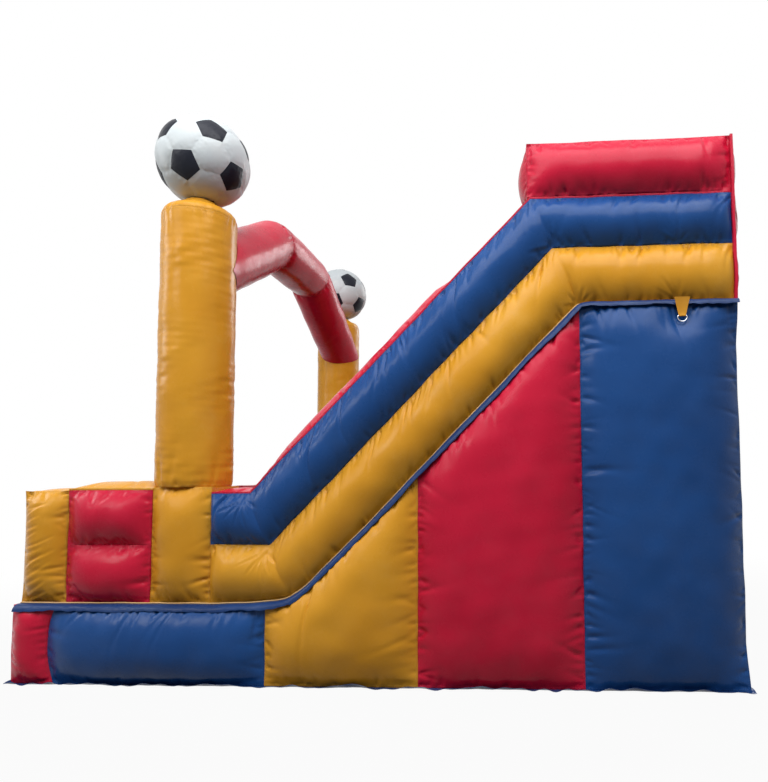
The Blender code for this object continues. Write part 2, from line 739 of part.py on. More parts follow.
def make_football(side):
    """Twelve five-sided and twenty six-sided panels, from an icosahedron with its corners cut."""
    bm = bmesh.new()
    bmesh.ops.create_icosphere(bm, subdivisions=1, radius=1.0)
    bmesh.ops.bevel(
        bm, geom=bm.verts[:], offset=100 / 3, offset_type="PERCENT", affect="VERTICES",
        segments=1, clamp_overlap=False,
    )
    bmesh.ops.remove_doubles(bm, verts=bm.verts[:], dist=1e-4)
    bmesh.ops.poke(bm, faces=bm.faces[:])
    turn = Matrix.Rotation(BALL_TURN, 3, "Z") @ Matrix.Rotation(BALL_TILT, 3, "Y")
    turn = turn @ Matrix.Rotation(BALL_SPIN, 3, "Z")
    middle = Vector((at(COLUMN_AT) + BALL_SHIFT, SIDES[side] * COLUMN_Y, ball_height()))
    seat = COLUMN_TOP + GAP
    for vert in bm.verts:
        vert.co = turn @ vert.co.normalized() * BALL_RADIUS + middle
    plane = Vector((0, 0, seat))
    cut = bmesh.ops.bisect_plane(
        bm, geom=bm.verts[:] + bm.edges[:] + bm.faces[:], plane_co=plane, plane_no=-Z_AXIS,
        clear_outer=True,
    )
    rim = [item for item in cut["geom_cut"] if isinstance(item, bmesh.types.BMEdge)]
    bmesh.ops.edgeloop_fill(bm, edges=rim)
    add_chamber(f"football_{side}", bm, "white", [Vector((middle.x, middle.y, seat))])


def ball_height():
    """The height of a football's middle, flattened where it sits on its column."""
    return COLUMN_TOP + GAP + math.sqrt(BALL_RADIUS**2 - COLUMN_SEAT**2)


def make_arch():
    """A mitred tube in the plane of the columns, whose ends lie round the columns' inner sides."""
    shoulder = COLUMN_Y - ARCH_SHOULDER_INSET
    half = [
        (shoulder, COLUMN_TOP - ARCH_END_DROP),
        (shoulder, COLUMN_TOP - ARCH_SHOULDER_DROP),
        (ARCH_CROWN_Y, COLUMN_TOP + ARCH_CROWN_RISE),
    ]
    line = [Vector((0, -y, z)) for y, z in half] + [Vector((0, y, z)) for y, z in reversed(half)]
    section = round_section(ARCH_RADIUS, ARCH_SIDES)
    stations = []
    for i, point in enumerate(line):
        before = (point - line[max(i - 1, 0)]).normalized()
        after = (line[min(i + 1, len(line) - 1)] - point).normalized()
        along = (before + after).normalized()
        stretch = 1 / max(before.dot(along), after.dot(along))
        up = X_AXIS.cross(along) * stretch
        stations.append((point + X_AXIS * at(COLUMN_AT), X_AXIS, up, 0))
    bm = sweep(section, stations)
    bmesh.ops.recalc_face_normals(bm, faces=bm.faces[:])
    arch = add_node("arch", bm, "red")
    columns, vents = bmesh.new(), bmesh.new()
    for sign in SIDES.values():
        column = Vector((at(COLUMN_AT), sign * COLUMN_Y, COLUMN_TOP))
        add_rod(columns, column, Z_AXIS, COLUMN_RADIUS + GAP, COLUMN_TOP, COLUMN_SIDES)
        depth = sign * (COLUMN_Y - COLUMN_RADIUS)
        vent = Vector((at(COLUMN_AT), depth, COLUMN_TOP - ARCH_VENT_DROP))
        add_rod(vents, vent, Y_AXIS, ARCH_VENT_RADIUS, ARCH_VENT_DEPTH, VENT_SIDES)
    add_operand("column_seats", columns, arch, "DIFFERENCE")
    add_skin(arch)
    add_operand("arch_vents", vents, arch, "DIFFERENCE")


# Floor pads and lanes

def pad(name, start, end, ups, y_range, finish, channels):
    """A pad with channels from front to rear, between two X and Z points of the floor.

    ups are the directions across its thickness at its start, middle and end.
    """
    width = y_range[1] - y_range[0]
    middle = (y_range[0] + y_range[1]) / 2
    swell = CHANNEL_SWELL if channels else 0
    steps = (1, 1, max(1, 2 * channels), 1)
    section = box_section(
        width, PAD_THICKNESS, (0, 0, swell, 0), steps, channels=channels or 1, low=GAP
    )
    start = Vector((start[0] + GAP, middle, start[1]))
    end = Vector((end[0] - GAP, middle, end[1]))
    stations = [(start, Y_AXIS, ups[0], 0)]
    for share, fade in PAD_PROFILE:
        stations.append((start.lerp(end, share), Y_AXIS, ups[1], fade))
    stations.append((end, Y_AXIS, ups[2], 0))
    add_chamber(name, sweep(section, stations), finish, [start.lerp(end, 0.5)])


def make_floor():
    half = WALL_INNER - INNER_SWELL - PAD_CLEARANCE
    front = at(POST_START) + FRONT_PILLOW_DEPTH + INNER_SWELL
    rear = REAR_X - BACK_WALL_THICKNESS - BACK_WALL_SWELL
    foot = (at(SLOPE_FOOT), BASE_HEIGHT)
    top = (at(SLOPE_TOP), PLATFORM_HEIGHT)
    right_edge = DIVIDER_Y - DIVIDER_WIDTH / 2 - DIVIDER_SWELL - GAP
    left_edge = DIVIDER_Y + DIVIDER_WIDTH / 2 + DIVIDER_SWELL + GAP
    pad("landing_pad", (front, BASE_HEIGHT), foot, (Z_AXIS, Z_AXIS, MITRE), (-half, half),
        "blue", LANDING_CHANNELS)
    slope_ups = (MITRE, SLOPE_UP, MITRE)
    pad("climb_bed", foot, top, slope_ups, (-half, right_edge), "blue", 0)
    pad("slide_bed", foot, top, slope_ups, (left_edge, half), "yellow", SLIDE_CHANNELS)
    pad("platform_pad", top, (rear, PLATFORM_HEIGHT), (MITRE, Z_AXIS, Z_AXIS), (-half, half),
        "blue", 0)
    make_divider()
    make_steps(-half, right_edge)


def make_divider():
    """The low wall between the climb and the slide."""
    section = box_section(
        DIVIDER_WIDTH, DIVIDER_HEIGHT, (0, DIVIDER_SWELL, DIVIDER_SWELL, DIVIDER_SWELL),
        (1, 3, 3, 3), low=GAP,
    )
    foot = Vector((at(SLOPE_FOOT), DIVIDER_Y, BASE_HEIGHT))
    stations = []
    for share, fade in PILLOW:
        reach = DIVIDER_START + (1 - DIVIDER_START) * share
        stations.append((foot + SLOPE_ALONG * SLOPE_RUN * reach, Y_AXIS, SLOPE_UP, fade))
    vent = stations[2][0].lerp(stations[3][0], 0.5)
    bm = sweep(section, stations, DIVIDER_SWELL, 0)
    add_chamber("lane_divider", bm, "red", [vent])


def make_steps(right, left):
    """Rolls across the climb, each a half round on the bed."""
    foot = Vector((at(SLOPE_FOOT), 0, BASE_HEIGHT))
    section = box_section(
        STEP_DEPTH, STEP_HEIGHT, (0, STEP_SWELL / 2, STEP_SWELL, STEP_SWELL / 2), (1, 2, 3, 2),
        low=PAD_THICKNESS + 2 * GAP,
    )
    for count in range(STEP_COUNT):
        share = (count + 1) / (STEP_COUNT + 1)
        origin = foot + SLOPE_ALONG * SLOPE_RUN * share
        stations = []
        for along, fade in PILLOW:
            y = right + STEP_INSET + (left - right - 2 * STEP_INSET) * along
            stations.append((origin + Y_AXIS * y, SLOPE_ALONG, SLOPE_UP, fade))
        vent = stations[2][0].lerp(stations[3][0], 0.5) + SLOPE_UP * PAD_THICKNESS
        bm = sweep(section, stations, STEP_SWELL, STEP_SWELL)
        add_chamber(f"climb_step_{count + 1}", bm, "yellow", [vent])


# Anchor tabs and rings

def ring_axis(side):
    depth = LEDGE_OUTER + STRAP_THICKNESS + 2 * GAP
    return Vector((REAR_X - TAB_SETBACK, SIDES[side] * depth, PLATFORM_HEIGHT - TAB_DROP))


def make_anchor(side):
    make_tab(side)
    make_anchor_ring(side)


def make_tab(side):
    """A strap folded round the ring's bar, tapering from the ledge flap to the bar."""
    axis = ring_axis(side)
    inner = RING_WIRE / 2 + RING_CLEARANCE
    radius = inner + STRAP_THICKNESS / 2
    layer = STRAP_THICKNESS / 2 + GAP
    top = PLATFORM_HEIGHT + LEDGE_THICKNESS
    meet = axis.z + TAB_MEET
    path = [(-layer, top), (-layer, meet)]
    for step in range(TAB_BENDS + 1):
        angle = math.pi * (1 + step / TAB_BENDS)
        path.append((radius * math.cos(angle), axis.z + radius * math.sin(angle)))
    path += [(layer, meet), (layer, top)]
    bm = bmesh.new()
    rings = []
    for i, (y, z) in enumerate(path):
        before = Vector(path[max(i - 1, 0)])
        after = Vector(path[min(i + 1, len(path) - 1)])
        along = (after - before).normalized()
        normal = Vector((0, -along.y, along.x)) * STRAP_THICKNESS / 2
        share = max(0.0, (z - axis.z) / (top - axis.z))
        half = (TAB_TIP_WIDTH + (TAB_WIDTH - TAB_TIP_WIDTH) * share) / 2
        point = Vector((axis.x, axis.y + y, z))
        rings.append([
            bm.verts.new(point + X_AXIS * x + normal * way)
            for x, way in ((-half, -1), (half, -1), (half, 1), (-half, 1))
        ])
    for first, second in zip(rings, rings[1:]):
        join_rings(bm, first, second)
    bm.faces.new(rings[0])
    bm.faces.new(rings[-1])
    bmesh.ops.recalc_face_normals(bm, faces=bm.faces[:])
    add_node(f"anchor_tab_{side}", bm, "webbing")


def make_anchor_ring(side):
    """A D of round steel, whose straight bar is in the tab."""
    axis = ring_axis(side)
    half = (RING_WIDTH - RING_WIRE) / 2
    corner = RING_CORNER
    path = [(x, 0) for x in (-half + corner, half - corner)]
    drop = RING_HEIGHT - RING_WIRE
    for step in range(1, 4):
        angle = math.pi / 2 - step * math.pi / 6
        path.append((half - corner + corner * math.cos(angle), corner * (math.sin(angle) - 1)))
    for step in range(1, RING_ARC_STEPS):
        angle = math.pi * step / RING_ARC_STEPS
        path.append((half * math.cos(angle), -corner - (drop - corner) * math.sin(angle)))
    for step in range(3, 0, -1):
        angle = math.pi / 2 + step * math.pi / 6
        path.append((-half + corner + corner * math.cos(angle), corner * (math.sin(angle) - 1)))
    points = [axis + Vector((x, 0, z)) for x, z in path]
    bm = bmesh.new()
    rings = []
    for i, point in enumerate(points):
        along = (points[(i + 1) % len(points)] - points[i - 1]).normalized()
        out = along.cross(Y_AXIS) * RING_WIRE / 2
        aside = Y_AXIS * RING_WIRE / 2
        turns = [2 * math.pi * side / WIRE_SIDES for side in range(WIRE_SIDES)]
        rings.append([
            bm.verts.new(point + out * math.cos(turn) + aside * math.sin(turn)) for turn in turns
        ])
    for i, ring in enumerate(rings):
        join_rings(bm, rings[i - 1], ring)
    bmesh.ops.recalc_face_normals(bm, faces=bm.faces[:])
    add_node(f"anchor_ring_{side}", bm, "steel", pivot=axis)


# Rear fittings

def make_sleeve():
    """The open tube that the blower's duct is strapped into, with a hem at its mouth."""
    wall = SLEEVE_RADIUS - SKIN
    reach = SLEEVE_REACH - GAP
    hem = SLEEVE_RADIUS + HEM_THICKNESS - SKIN
    profile = [
        (wall, 0), (wall, reach), (hem, reach), (hem, reach - HEM_WIDTH),
        (SLEEVE_RADIUS, reach - HEM_WIDTH), (SLEEVE_RADIUS, 2 * SKIN),
        (SLEEVE_RADIUS + FLANGE_WIDTH, 2 * SKIN), (SLEEVE_RADIUS + FLANGE_WIDTH, 0), (wall, 0),
    ]
    middle = Vector((REAR_X + GAP, SLEEVE_Y, SLEEVE_Z))
    bm = turned(profile, SLEEVE_SIDES, middle, X_AXIS, Z_AXIS)
    bmesh.ops.recalc_face_normals(bm, faces=bm.faces[:])
    add_node("inflation_sleeve", bm, "blue")


def extrude_profile(points, start, length):
    """Extrude an X and Z profile along Y."""
    bm = bmesh.new()
    face = bm.faces.new([bm.verts.new((x, start, z)) for x, z in points])
    moved = bmesh.ops.extrude_face_region(bm, geom=[face])
    verts = [item for item in moved["geom"] if isinstance(item, bmesh.types.BMVert)]
    bmesh.ops.translate(bm, verts=verts, vec=(0, length, 0))
    bmesh.ops.recalc_face_normals(bm, faces=bm.faces[:])
    return bm


def make_zip():
    start = ZIP_Y - ZIP_LENGTH / 2
    tape = REAR_X + GAP
    face = tape + ZIP_TAPE_THICKNESS
    low, high = ZIP_Z - ZIP_TAPE_HEIGHT / 2, ZIP_Z + ZIP_TAPE_HEIGHT / 2
    coil = COIL_WIDTH / 2
    outline = [
        (tape, low), (face, low), (face, ZIP_Z - coil), (face + COIL_HEIGHT, ZIP_Z - coil),
        (face + COIL_HEIGHT, ZIP_Z + coil), (face, ZIP_Z + coil), (face, high - PIPING_HEIGHT),
        (face + PIPING_WIDTH, high - PIPING_HEIGHT), (face + PIPING_WIDTH, high), (tape, high),
    ]
    add_node("zip_tape", extrude_profile(outline, start, ZIP_LENGTH), "navy")
    make_slider(face)
    make_flap(face, high)


def make_slider(face):
    """A body with a channel over the coil, and its pull tab."""
    clear = SLIDER_CLEARANCE
    half, channel = SLIDER_WIDTH / 2, COIL_WIDTH / 2 + clear
    foot = face + clear
    roof = face + COIL_HEIGHT + clear
    top = face + SLIDER_HEIGHT
    outline = [
        (foot, ZIP_Z - half), (top, ZIP_Z - half), (top, ZIP_Z + half), (foot, ZIP_Z + half),
        (foot, ZIP_Z + channel), (roof, ZIP_Z + channel), (roof, ZIP_Z - channel),
        (foot, ZIP_Z - channel),
    ]
    start = ZIP_Y - ZIP_LENGTH / 2 + SLIDER_END_ROOM
    slider = add_node("zip_slider", extrude_profile(outline, start, SLIDER_LENGTH), "steel")
    low, high = top - PULL_SINK, top - PULL_SINK + PULL_THICKNESS
    half = PULL_WIDTH / 2
    outline = [
        (low, ZIP_Z - half), (high, ZIP_Z - half), (high, ZIP_Z + half), (low, ZIP_Z + half),
    ]
    pull = extrude_profile(outline, start + SLIDER_LENGTH + PULL_OVER - PULL_LENGTH, PULL_LENGTH)
    add_operand("zip_pull", pull, slider, "UNION")


def make_flap(face, high):
    """The flap that covers the zip, hinged along its top edge below the piping."""
    outer = face + PIPING_WIDTH
    axis = Vector((outer - FLAP_THICKNESS / 2, ZIP_Y, high - PIPING_HEIGHT - FLAP_THICKNESS))
    low = axis.z - FLAP_DROP
    top = high - PIPING_HEIGHT - GAP
    outline = [(outer - FLAP_THICKNESS, low), (outer, low), (outer, top),
               (outer - FLAP_THICKNESS, top)]
    bm = extrude_profile(outline, ZIP_Y - ZIP_LENGTH / 2 - GAP, ZIP_LENGTH + 2 * GAP)
    add_node("zip_flap", bm, "blue", pivot=axis)


def main():
    for obj in list(bpy.data.objects):
        bpy.data.objects.remove(obj, do_unlink=True)
    make_base()
    for side in SIDES:
        make_walls(side)
        make_front_wall(side)
        make_column(side)
        make_football(side)
        make_anchor(side)
    make_back_wall()
    make_arch()
    make_floor()
    make_sleeve()
    make_zip()


main()
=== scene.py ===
"""Looks of the inflatable football slide, in the same frame as its solids.

The children's entrance is at -X and the tall rear at +X. Right is -Y, as seen on going in.
Each air chamber is a mesh of sewn panels that crown between their seams, pucker along
them, and crease where the walls bend. Lengths are in metres.
"""

import math

import bmesh
import bpy
import numpy as np
from mathutils import Matrix, Vector


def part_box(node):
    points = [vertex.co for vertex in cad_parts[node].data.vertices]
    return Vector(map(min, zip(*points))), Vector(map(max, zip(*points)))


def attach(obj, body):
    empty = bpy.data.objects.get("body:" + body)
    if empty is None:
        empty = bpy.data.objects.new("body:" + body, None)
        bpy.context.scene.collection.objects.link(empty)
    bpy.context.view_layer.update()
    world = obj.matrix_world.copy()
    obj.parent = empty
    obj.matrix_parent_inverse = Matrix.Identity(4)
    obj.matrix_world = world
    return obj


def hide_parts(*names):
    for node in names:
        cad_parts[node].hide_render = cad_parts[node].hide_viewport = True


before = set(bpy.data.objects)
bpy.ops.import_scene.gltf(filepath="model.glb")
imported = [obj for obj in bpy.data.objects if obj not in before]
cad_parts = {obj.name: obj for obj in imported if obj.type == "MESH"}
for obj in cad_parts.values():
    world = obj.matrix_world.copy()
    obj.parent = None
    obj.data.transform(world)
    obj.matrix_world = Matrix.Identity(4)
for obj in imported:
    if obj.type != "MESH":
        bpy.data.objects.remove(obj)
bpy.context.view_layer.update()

# Places and sizes that the solids have too
SIDES = {"right": -1, "left": 1}
FRONT_X = -2.595
STEP_SEAM_X = -2.305
LANDING_END_X = -0.80
SLOPE_FOOT_X = -0.625
SLOPE_SEAM_X = 0.26
SLOPE_TOP_X = 1.3783
REAR_X = 2.45
WALL_START_X = -1.226
BASE_HEIGHT = 0.543
PLATFORM_HEIGHT = 2.603
SLOPE_ANGLE = math.radians(45.8)
SLOPE_LENGTH = (PLATFORM_HEIGHT - BASE_HEIGHT) / math.sin(SLOPE_ANGLE)
MITRE = -math.tan(SLOPE_ANGLE / 2)
BASE_HALF_WIDTH = 1.96
WALL_OUTER = 1.90
WALL_INNER = 1.50
WALL_SPLIT = 1.68
LOWER_TUBE = 0.41
WALL_HEIGHT = 0.77
CAP_LIP = 0.012
FRONT_CAP_HEIGHT = 0.80
GUARD_FOOT = 3.385
TAB_X = 2.064
TAB_Z = 2.49
LANE_SPLIT_Y = -0.25
COLUMN_X = -1.48
COLUMN_Y = 1.681
COLUMN_RADIUS = 0.264
COLUMN_BASE_TOP = 1.36
COLUMN_SHOULDER = 3.395
COLUMN_TOP = 3.54
COLUMN_SEAT = 0.11
SHOULDER_ROUND = 0.075
BALL_X = -1.46
BALL_Z = 3.860
BALL_RADIUS = 0.335
ARCH_X = -1.44
ARCH_RADIUS = 0.228
ARCH_CROWN = (0.50, 3.675)
ARCH_SHOULDER = (1.375, 3.177)

# Clearances between neighbours and over the ground
GAP = 0.0003
FLOOR = 0.0009

# How far panels swell, and how close to its seams a large panel rolls over
BASE_SWELL = 0.066
BASE_BULGE = 0.05
PANEL_ROLL = 0.36
END_ROLL = 0.3
SIDE_SWELL = 0.085
INNER_SWELL = 0.03
BOX_SWELL = 0.055
BOX_FULLER = 0.035

# Rounding of the ledge line at the slope's foot and top
FOOT_ROUND = 0.11
TOP_ROUND = 0.03

# Mesh spacing of panels in view and of those inside
FINE = 0.010
COARSE = 0.03

# Unevenness of whole pieces and of single panels
SHAKE = 0.0013
PANEL_WAVES = 0.0007


def puckers(pitch, reach, depth):
    return {"pitch": pitch, "reach": reach, "depth": depth}


BOX_PUCKERS = {"all": puckers(0.04, 0.06, 0.008)}


# Relief

def wobble(points, size, seed, waves=7):
    """Smooth noise of about one, from plane waves of random direction."""
    rng = np.random.default_rng(seed)
    total = np.zeros(points.shape[:-1])
    for _ in range(waves):
        way = rng.normal(size=3)
        way *= 2 * math.pi / size * rng.uniform(0.6, 1.5) / np.linalg.norm(way)
        total += np.sin(points @ way + rng.uniform(0, 2 * math.pi))
    return total / math.sqrt(waves / 2)


def seam_folds(length, seed, pitch=0.05, reach=0.12, depth=0.005):
    """Random puckers along a seam: place, reach, depth, width and lean of each."""
    rng = np.random.default_rng(seed)
    count = max(2, int(length / pitch))
    places = (np.arange(count) + 0.5 + rng.uniform(-0.45, 0.45, count)) * length / count
    reaches = reach * rng.lognormal(0, 0.5, count)
    depths = depth * rng.choice([0.25, 0.6, 1.0, 1.7], count) * rng.uniform(0.7, 1.3, count)
    widths = pitch * rng.uniform(0.17, 0.30, count)
    leans = rng.normal(0, 0.25, count)
    return np.stack([places, reaches, depths, widths, leans], 1)


def fold_relief(along, away, folds):
    """Puckers that are deepest a little off the seam and widen as they fade."""
    total = np.zeros(along.shape)
    for place, reach, depth, width, lean in folds:
        spread = width * (1 + 1.2 * away / reach)
        crest = np.exp(-(((along - place - lean * away) / spread) ** 2))
        peak = 0.3 * reach
        total -= depth * crest * (away / peak) * np.exp(1 - away / peak)
    return total


def crease_relief(u, v, creases):
    """Straight creases in a panel: each from (u, v) to (u, v) with a width and a depth."""
    total = np.zeros(u.shape)
    for (u0, v0), (u1, v1), width, depth in creases:
        du, dv = u1 - u0, v1 - v0
        length = math.hypot(du, dv)
        share = ((u - u0) * du + (v - v0) * dv) / length**2
        aside = ((u - u0) * dv - (v - v0) * du) / length
        inside = np.clip(share, 0, 1)
        beyond = (np.abs(share - inside) * length / width) ** 2
        taper = np.sin(math.pi * np.clip(inside * 0.86 + 0.07, 0, 1)) ** 0.7
        total -= depth * taper * np.exp(-((aside / width) ** 2) - beyond)
        ridge = ((aside - 1.7 * width) / width) ** 2
        total += 0.5 * depth * taper * np.exp(-ridge - beyond)
    return total


def crown(share, power=2.1):
    return 1 - np.abs(2 * share - 1) ** power


def puffed(near, far, roll):
    """Crown of a large panel: it rises like a tube within a roll of each seam, then stays."""
    rise = [1 - (1 - np.clip(away / roll, 0, 1)) ** 2.4 for away in (near, far)]
    return rise[0] * rise[1]


# Panels: a grid of points, with each point's distances from the first and last edges

def counts(size, spacing):
    return max(2, int(round(size / spacing)) + 1)


def grid_of(x, y, z):
    """A grid of points from coordinates that broadcast together."""
    return np.stack(np.broadcast_arrays(x, y, z), 2).astype(float)


def lengths_along(grid, axis):
    steps = np.linalg.norm(np.diff(grid, axis=axis), axis=2)
    pad = np.zeros((1, grid.shape[1]) if axis == 0 else (grid.shape[0], 1))
    return np.concatenate([pad, np.cumsum(steps, axis=axis)], axis=axis)


def normals(grid):
    normal = np.cross(np.gradient(grid, axis=0), np.gradient(grid, axis=1))
    return normal / np.maximum(np.linalg.norm(normal, axis=2, keepdims=True), 1e-9)


def plain(grid):
    """A panel without puckers."""
    u, v = lengths_along(grid, 0), lengths_along(grid, 1)
    return grid, np.stack([u, v], 2), np.stack([u[-1:] - u, v[:, -1:] - v], 2)


def bare(grid, place=0.5):
    """A panel whose points all lie equally far from its seams."""
    flat = np.full((*grid.shape[:2], 2), place)
    return grid, flat, flat


def panel(grid, outward, seed, folds=None, creases=(), edges=("u0", "u1", "v0", "v1")):
    """One sewn panel, with puckers along its seams."""
    grid, near, far = plain(grid)
    (u, v), (far_u, far_v) = np.moveaxis(near, 2, 0), np.moveaxis(far, 2, 0)
    normal = normals(grid)
    if np.sum(normal * outward) < 0:
        normal = -normal
    ways = {"u0": (v, u), "u1": (v, far_u), "v0": (u, v), "v1": (u, far_v)}
    total = PANEL_WAVES * wobble(grid, 0.22, seed + 90)
    folds = folds or {}
    for number, edge in enumerate(edges):
        along, away = ways[edge]
        settings = {**folds.get("all", {}), **folds.get(edge, {})}
        total += fold_relief(along, away, seam_folds(along.max(), seed * 10 + number, **settings))
    total += crease_relief(u, v, creases)
    for away in (u, far_u, v, far_v):
        total *= np.clip(away / 0.016, 0, 1)
    return grid + normal * total[..., None], near, far


def rims(face, back, place):
    """The four narrow panels between the edges of two like grids."""
    cuts = ((0, slice(None)), (-1, slice(None)), (slice(None), 0), (slice(None), -1))
    return [bare(np.stack([face[cut], back[cut]], 1), place) for cut in cuts]


def end_panel(outline):
    """A fan that closes the open end of a swept skin."""
    ring = np.concatenate([part[:-1] for part in outline])
    middle = np.tile(ring.mean(0), (len(ring) + 1, 1))
    return bare(np.stack([np.vstack([ring, ring[:1]]), middle], 1))


# Pieces

def roof_height(x):
    rise = (x - SLOPE_FOOT_X) * math.tan(SLOPE_ANGLE)
    return np.clip(BASE_HEIGHT + rise, BASE_HEIGHT, PLATFORM_HEIGHT)


def round_bends(points):
    """Rounds the ledge line's two corners, less and less away from that line."""
    moved = points.copy()
    x, z = points[:, 0], points[:, 2]
    over = z - roof_height(x)
    weight = np.where(over > 0, np.clip(1 - over / LOWER_TUBE, 0, 1), np.clip(z / 0.35, 0, 1))
    slope = math.tan(SLOPE_ANGLE)
    for corner, width, way in ((SLOPE_FOOT_X, FOOT_ROUND, 1), (SLOPE_TOP_X, TOP_ROUND, -1)):
        away = x - corner
        lift = 0.5 * slope * (np.sqrt(away**2 + width**2) - np.abs(away))
        lift *= np.exp(-((away / (4 * width)) ** 4))
        moved[:, 2] += way * lift * weight
    return moved


def shaken(points, amount):
    """The same slight unevenness at the same place in every piece, so neighbours stay together."""
    moved = points.copy()
    lift = np.clip(points[:, 2] / 0.05, 0, 1)
    for axis in range(3):
        moved[:, axis] += amount * lift * wobble(points, 0.33, 400 + axis)
    return moved


def close_seams(mesh, reach):
    bm = bmesh.new()
    bm.from_mesh(mesh)
    bmesh.ops.remove_doubles(bm, verts=bm.verts[:], dist=reach)
    bmesh.ops.dissolve_degenerate(bm, edges=bm.edges[:], dist=1e-6)
    bmesh.ops.recalc_face_normals(bm, faces=bm.faces[:])
    bm.to_mesh(mesh)
    bm.free()


def quads(shape):
    """Corner numbers of the faces of a grid."""
    index = np.arange(shape[0] * shape[1]).reshape(shape)
    return np.stack([index[:-1, :-1], index[1:, :-1], index[1:, 1:], index[:-1, 1:]], 2)


def weld(name, panels, shake=SHAKE, bends=False):
    """One mesh of several panels, welded where their edges meet."""
    faces, base = [], 0
    for grid, _, _ in panels:
        faces.append(base + quads(grid.shape[:2]).reshape(-1, 4))
        base += grid.shape[0] * grid.shape[1]
    faces = np.concatenate(faces)
    points, near, far = (np.concatenate([part.reshape(-1, part.shape[2]) for part in parts])
                         for parts in zip(*panels))
    points = shaken(points, shake)
    if bends:
        points = round_bends(points)
    mesh = bpy.data.meshes.new(name)
    mesh.from_pydata(points.tolist(), [], faces.tolist())
    for label, values in (("near", near), ("far", far)):
        layer = mesh.uv_layers.new(name=label)
        layer.data.foreach_set("uv", values[faces.reshape(-1)].astype(np.float32).ravel())
    close_seams(mesh, 3e-4)
    return mesh


def finish_piece(name, mesh, finishes, nodes, body="inflatable", sharp=55):
    for finish in finishes:
        mesh.materials.append(finish)
    mesh.shade_smooth()
    mesh.set_sharp_from_angle(angle=math.radians(sharp))
    made = bpy.data.objects.new(name, mesh)
    bpy.context.scene.collection.objects.link(made)
    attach(made, body)
    if nodes:
        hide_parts(*nodes)
    return made


def air_piece(node, finish, panels, name=None, bends=False):
    """A padded piece of sewn panels that stands for one air chamber."""
    name = name or f"{node}_skin"
    mesh = weld(name, panels, bends=bends)
    finish_piece(name, mesh, [finish], [node])


# Box-shaped chambers

FACES = {
    "front": (0, -1), "rear": (0, 1), "right": (1, -1), "left": (1, 1),
    "bottom": (2, -1), "top": (2, 1),
}


def pillow_panels(low, high, swells, seed, folds=None, creases=None, draw=0.0):
    """The six panels of a box-shaped chamber between its seams."""
    low, high = np.array(low, float), np.array(high, float)
    size = high - low
    number = [counts(side, FINE) for side in size]
    panels = []
    for order, (face, (axis, sign)) in enumerate(FACES.items()):
        i, j = [k for k in range(3) if k != axis]
        a, b = np.meshgrid(np.linspace(0, 1, number[i]), np.linspace(0, 1, number[j]),
                           indexing="ij")
        grid = np.zeros((number[i], number[j], 3))
        grid[..., i] = low[i] + size[i] * a
        grid[..., j] = low[j] + size[j] * b
        grid[..., axis] = high[axis] if sign > 0 else low[axis]
        ratio = size[i] / size[j]
        swell = swells.get(face, 0)
        grid[..., axis] += sign * swell * crown(a, 2.1 * max(1.0, ratio**0.9)) \
            * crown(b, 2.1 * max(1.0, (1 / ratio) ** 0.9))
        if draw:
            grid = drawn(grid, low, size, draw)
        if swell:
            outward = np.zeros(3)
            outward[axis] = sign
            panels.append(panel(grid, outward, seed + order, folds,
                                (creases or {}).get(face, ())))
        else:
            panels.append(plain(grid))
    return panels


def drawn(grid, low, size, amount):
    """Seams that pull in between the corners of a box."""
    share = (grid - low) / size
    pull = 1 - np.abs(np.clip(2 * share - 1, -1, 1)) ** 4
    moved = grid.copy()
    for axis in range(3):
        first, second = [k for k in range(3) if k != axis]
        side = np.clip(2 * share[..., axis] - 1, -1, 1) ** 3
        moved[..., axis] -= amount * side * np.maximum(pull[..., first], pull[..., second])
    return moved


def pillow(node, finish, swells, seed, fuller=None, taller=0.0, ahead=0.0, **more):
    """An air chamber in place of a box-shaped one.

    swells are those of the solid's faces, from which its seams follow, and fuller adds to them.
    """
    low, high = (list(corner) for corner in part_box(node))
    for face, swell in swells.items():
        axis, sign = FACES[face]
        if sign > 0:
            high[axis] -= swell
        else:
            low[axis] += swell
    high[2] += taller
    low[0] -= ahead
    swells = {face: swell + (fuller or {}).get(face, 0) for face, swell in swells.items()}
    air_piece(node, finish, pillow_panels(low, high, swells, seed, **more))


def side_swells(side, swells):
    named = {"outer": side, "inner": {"right": "left", "left": "right"}[side]}
    return {named.get(face, face): swell for face, swell in swells.items()}


# Materials

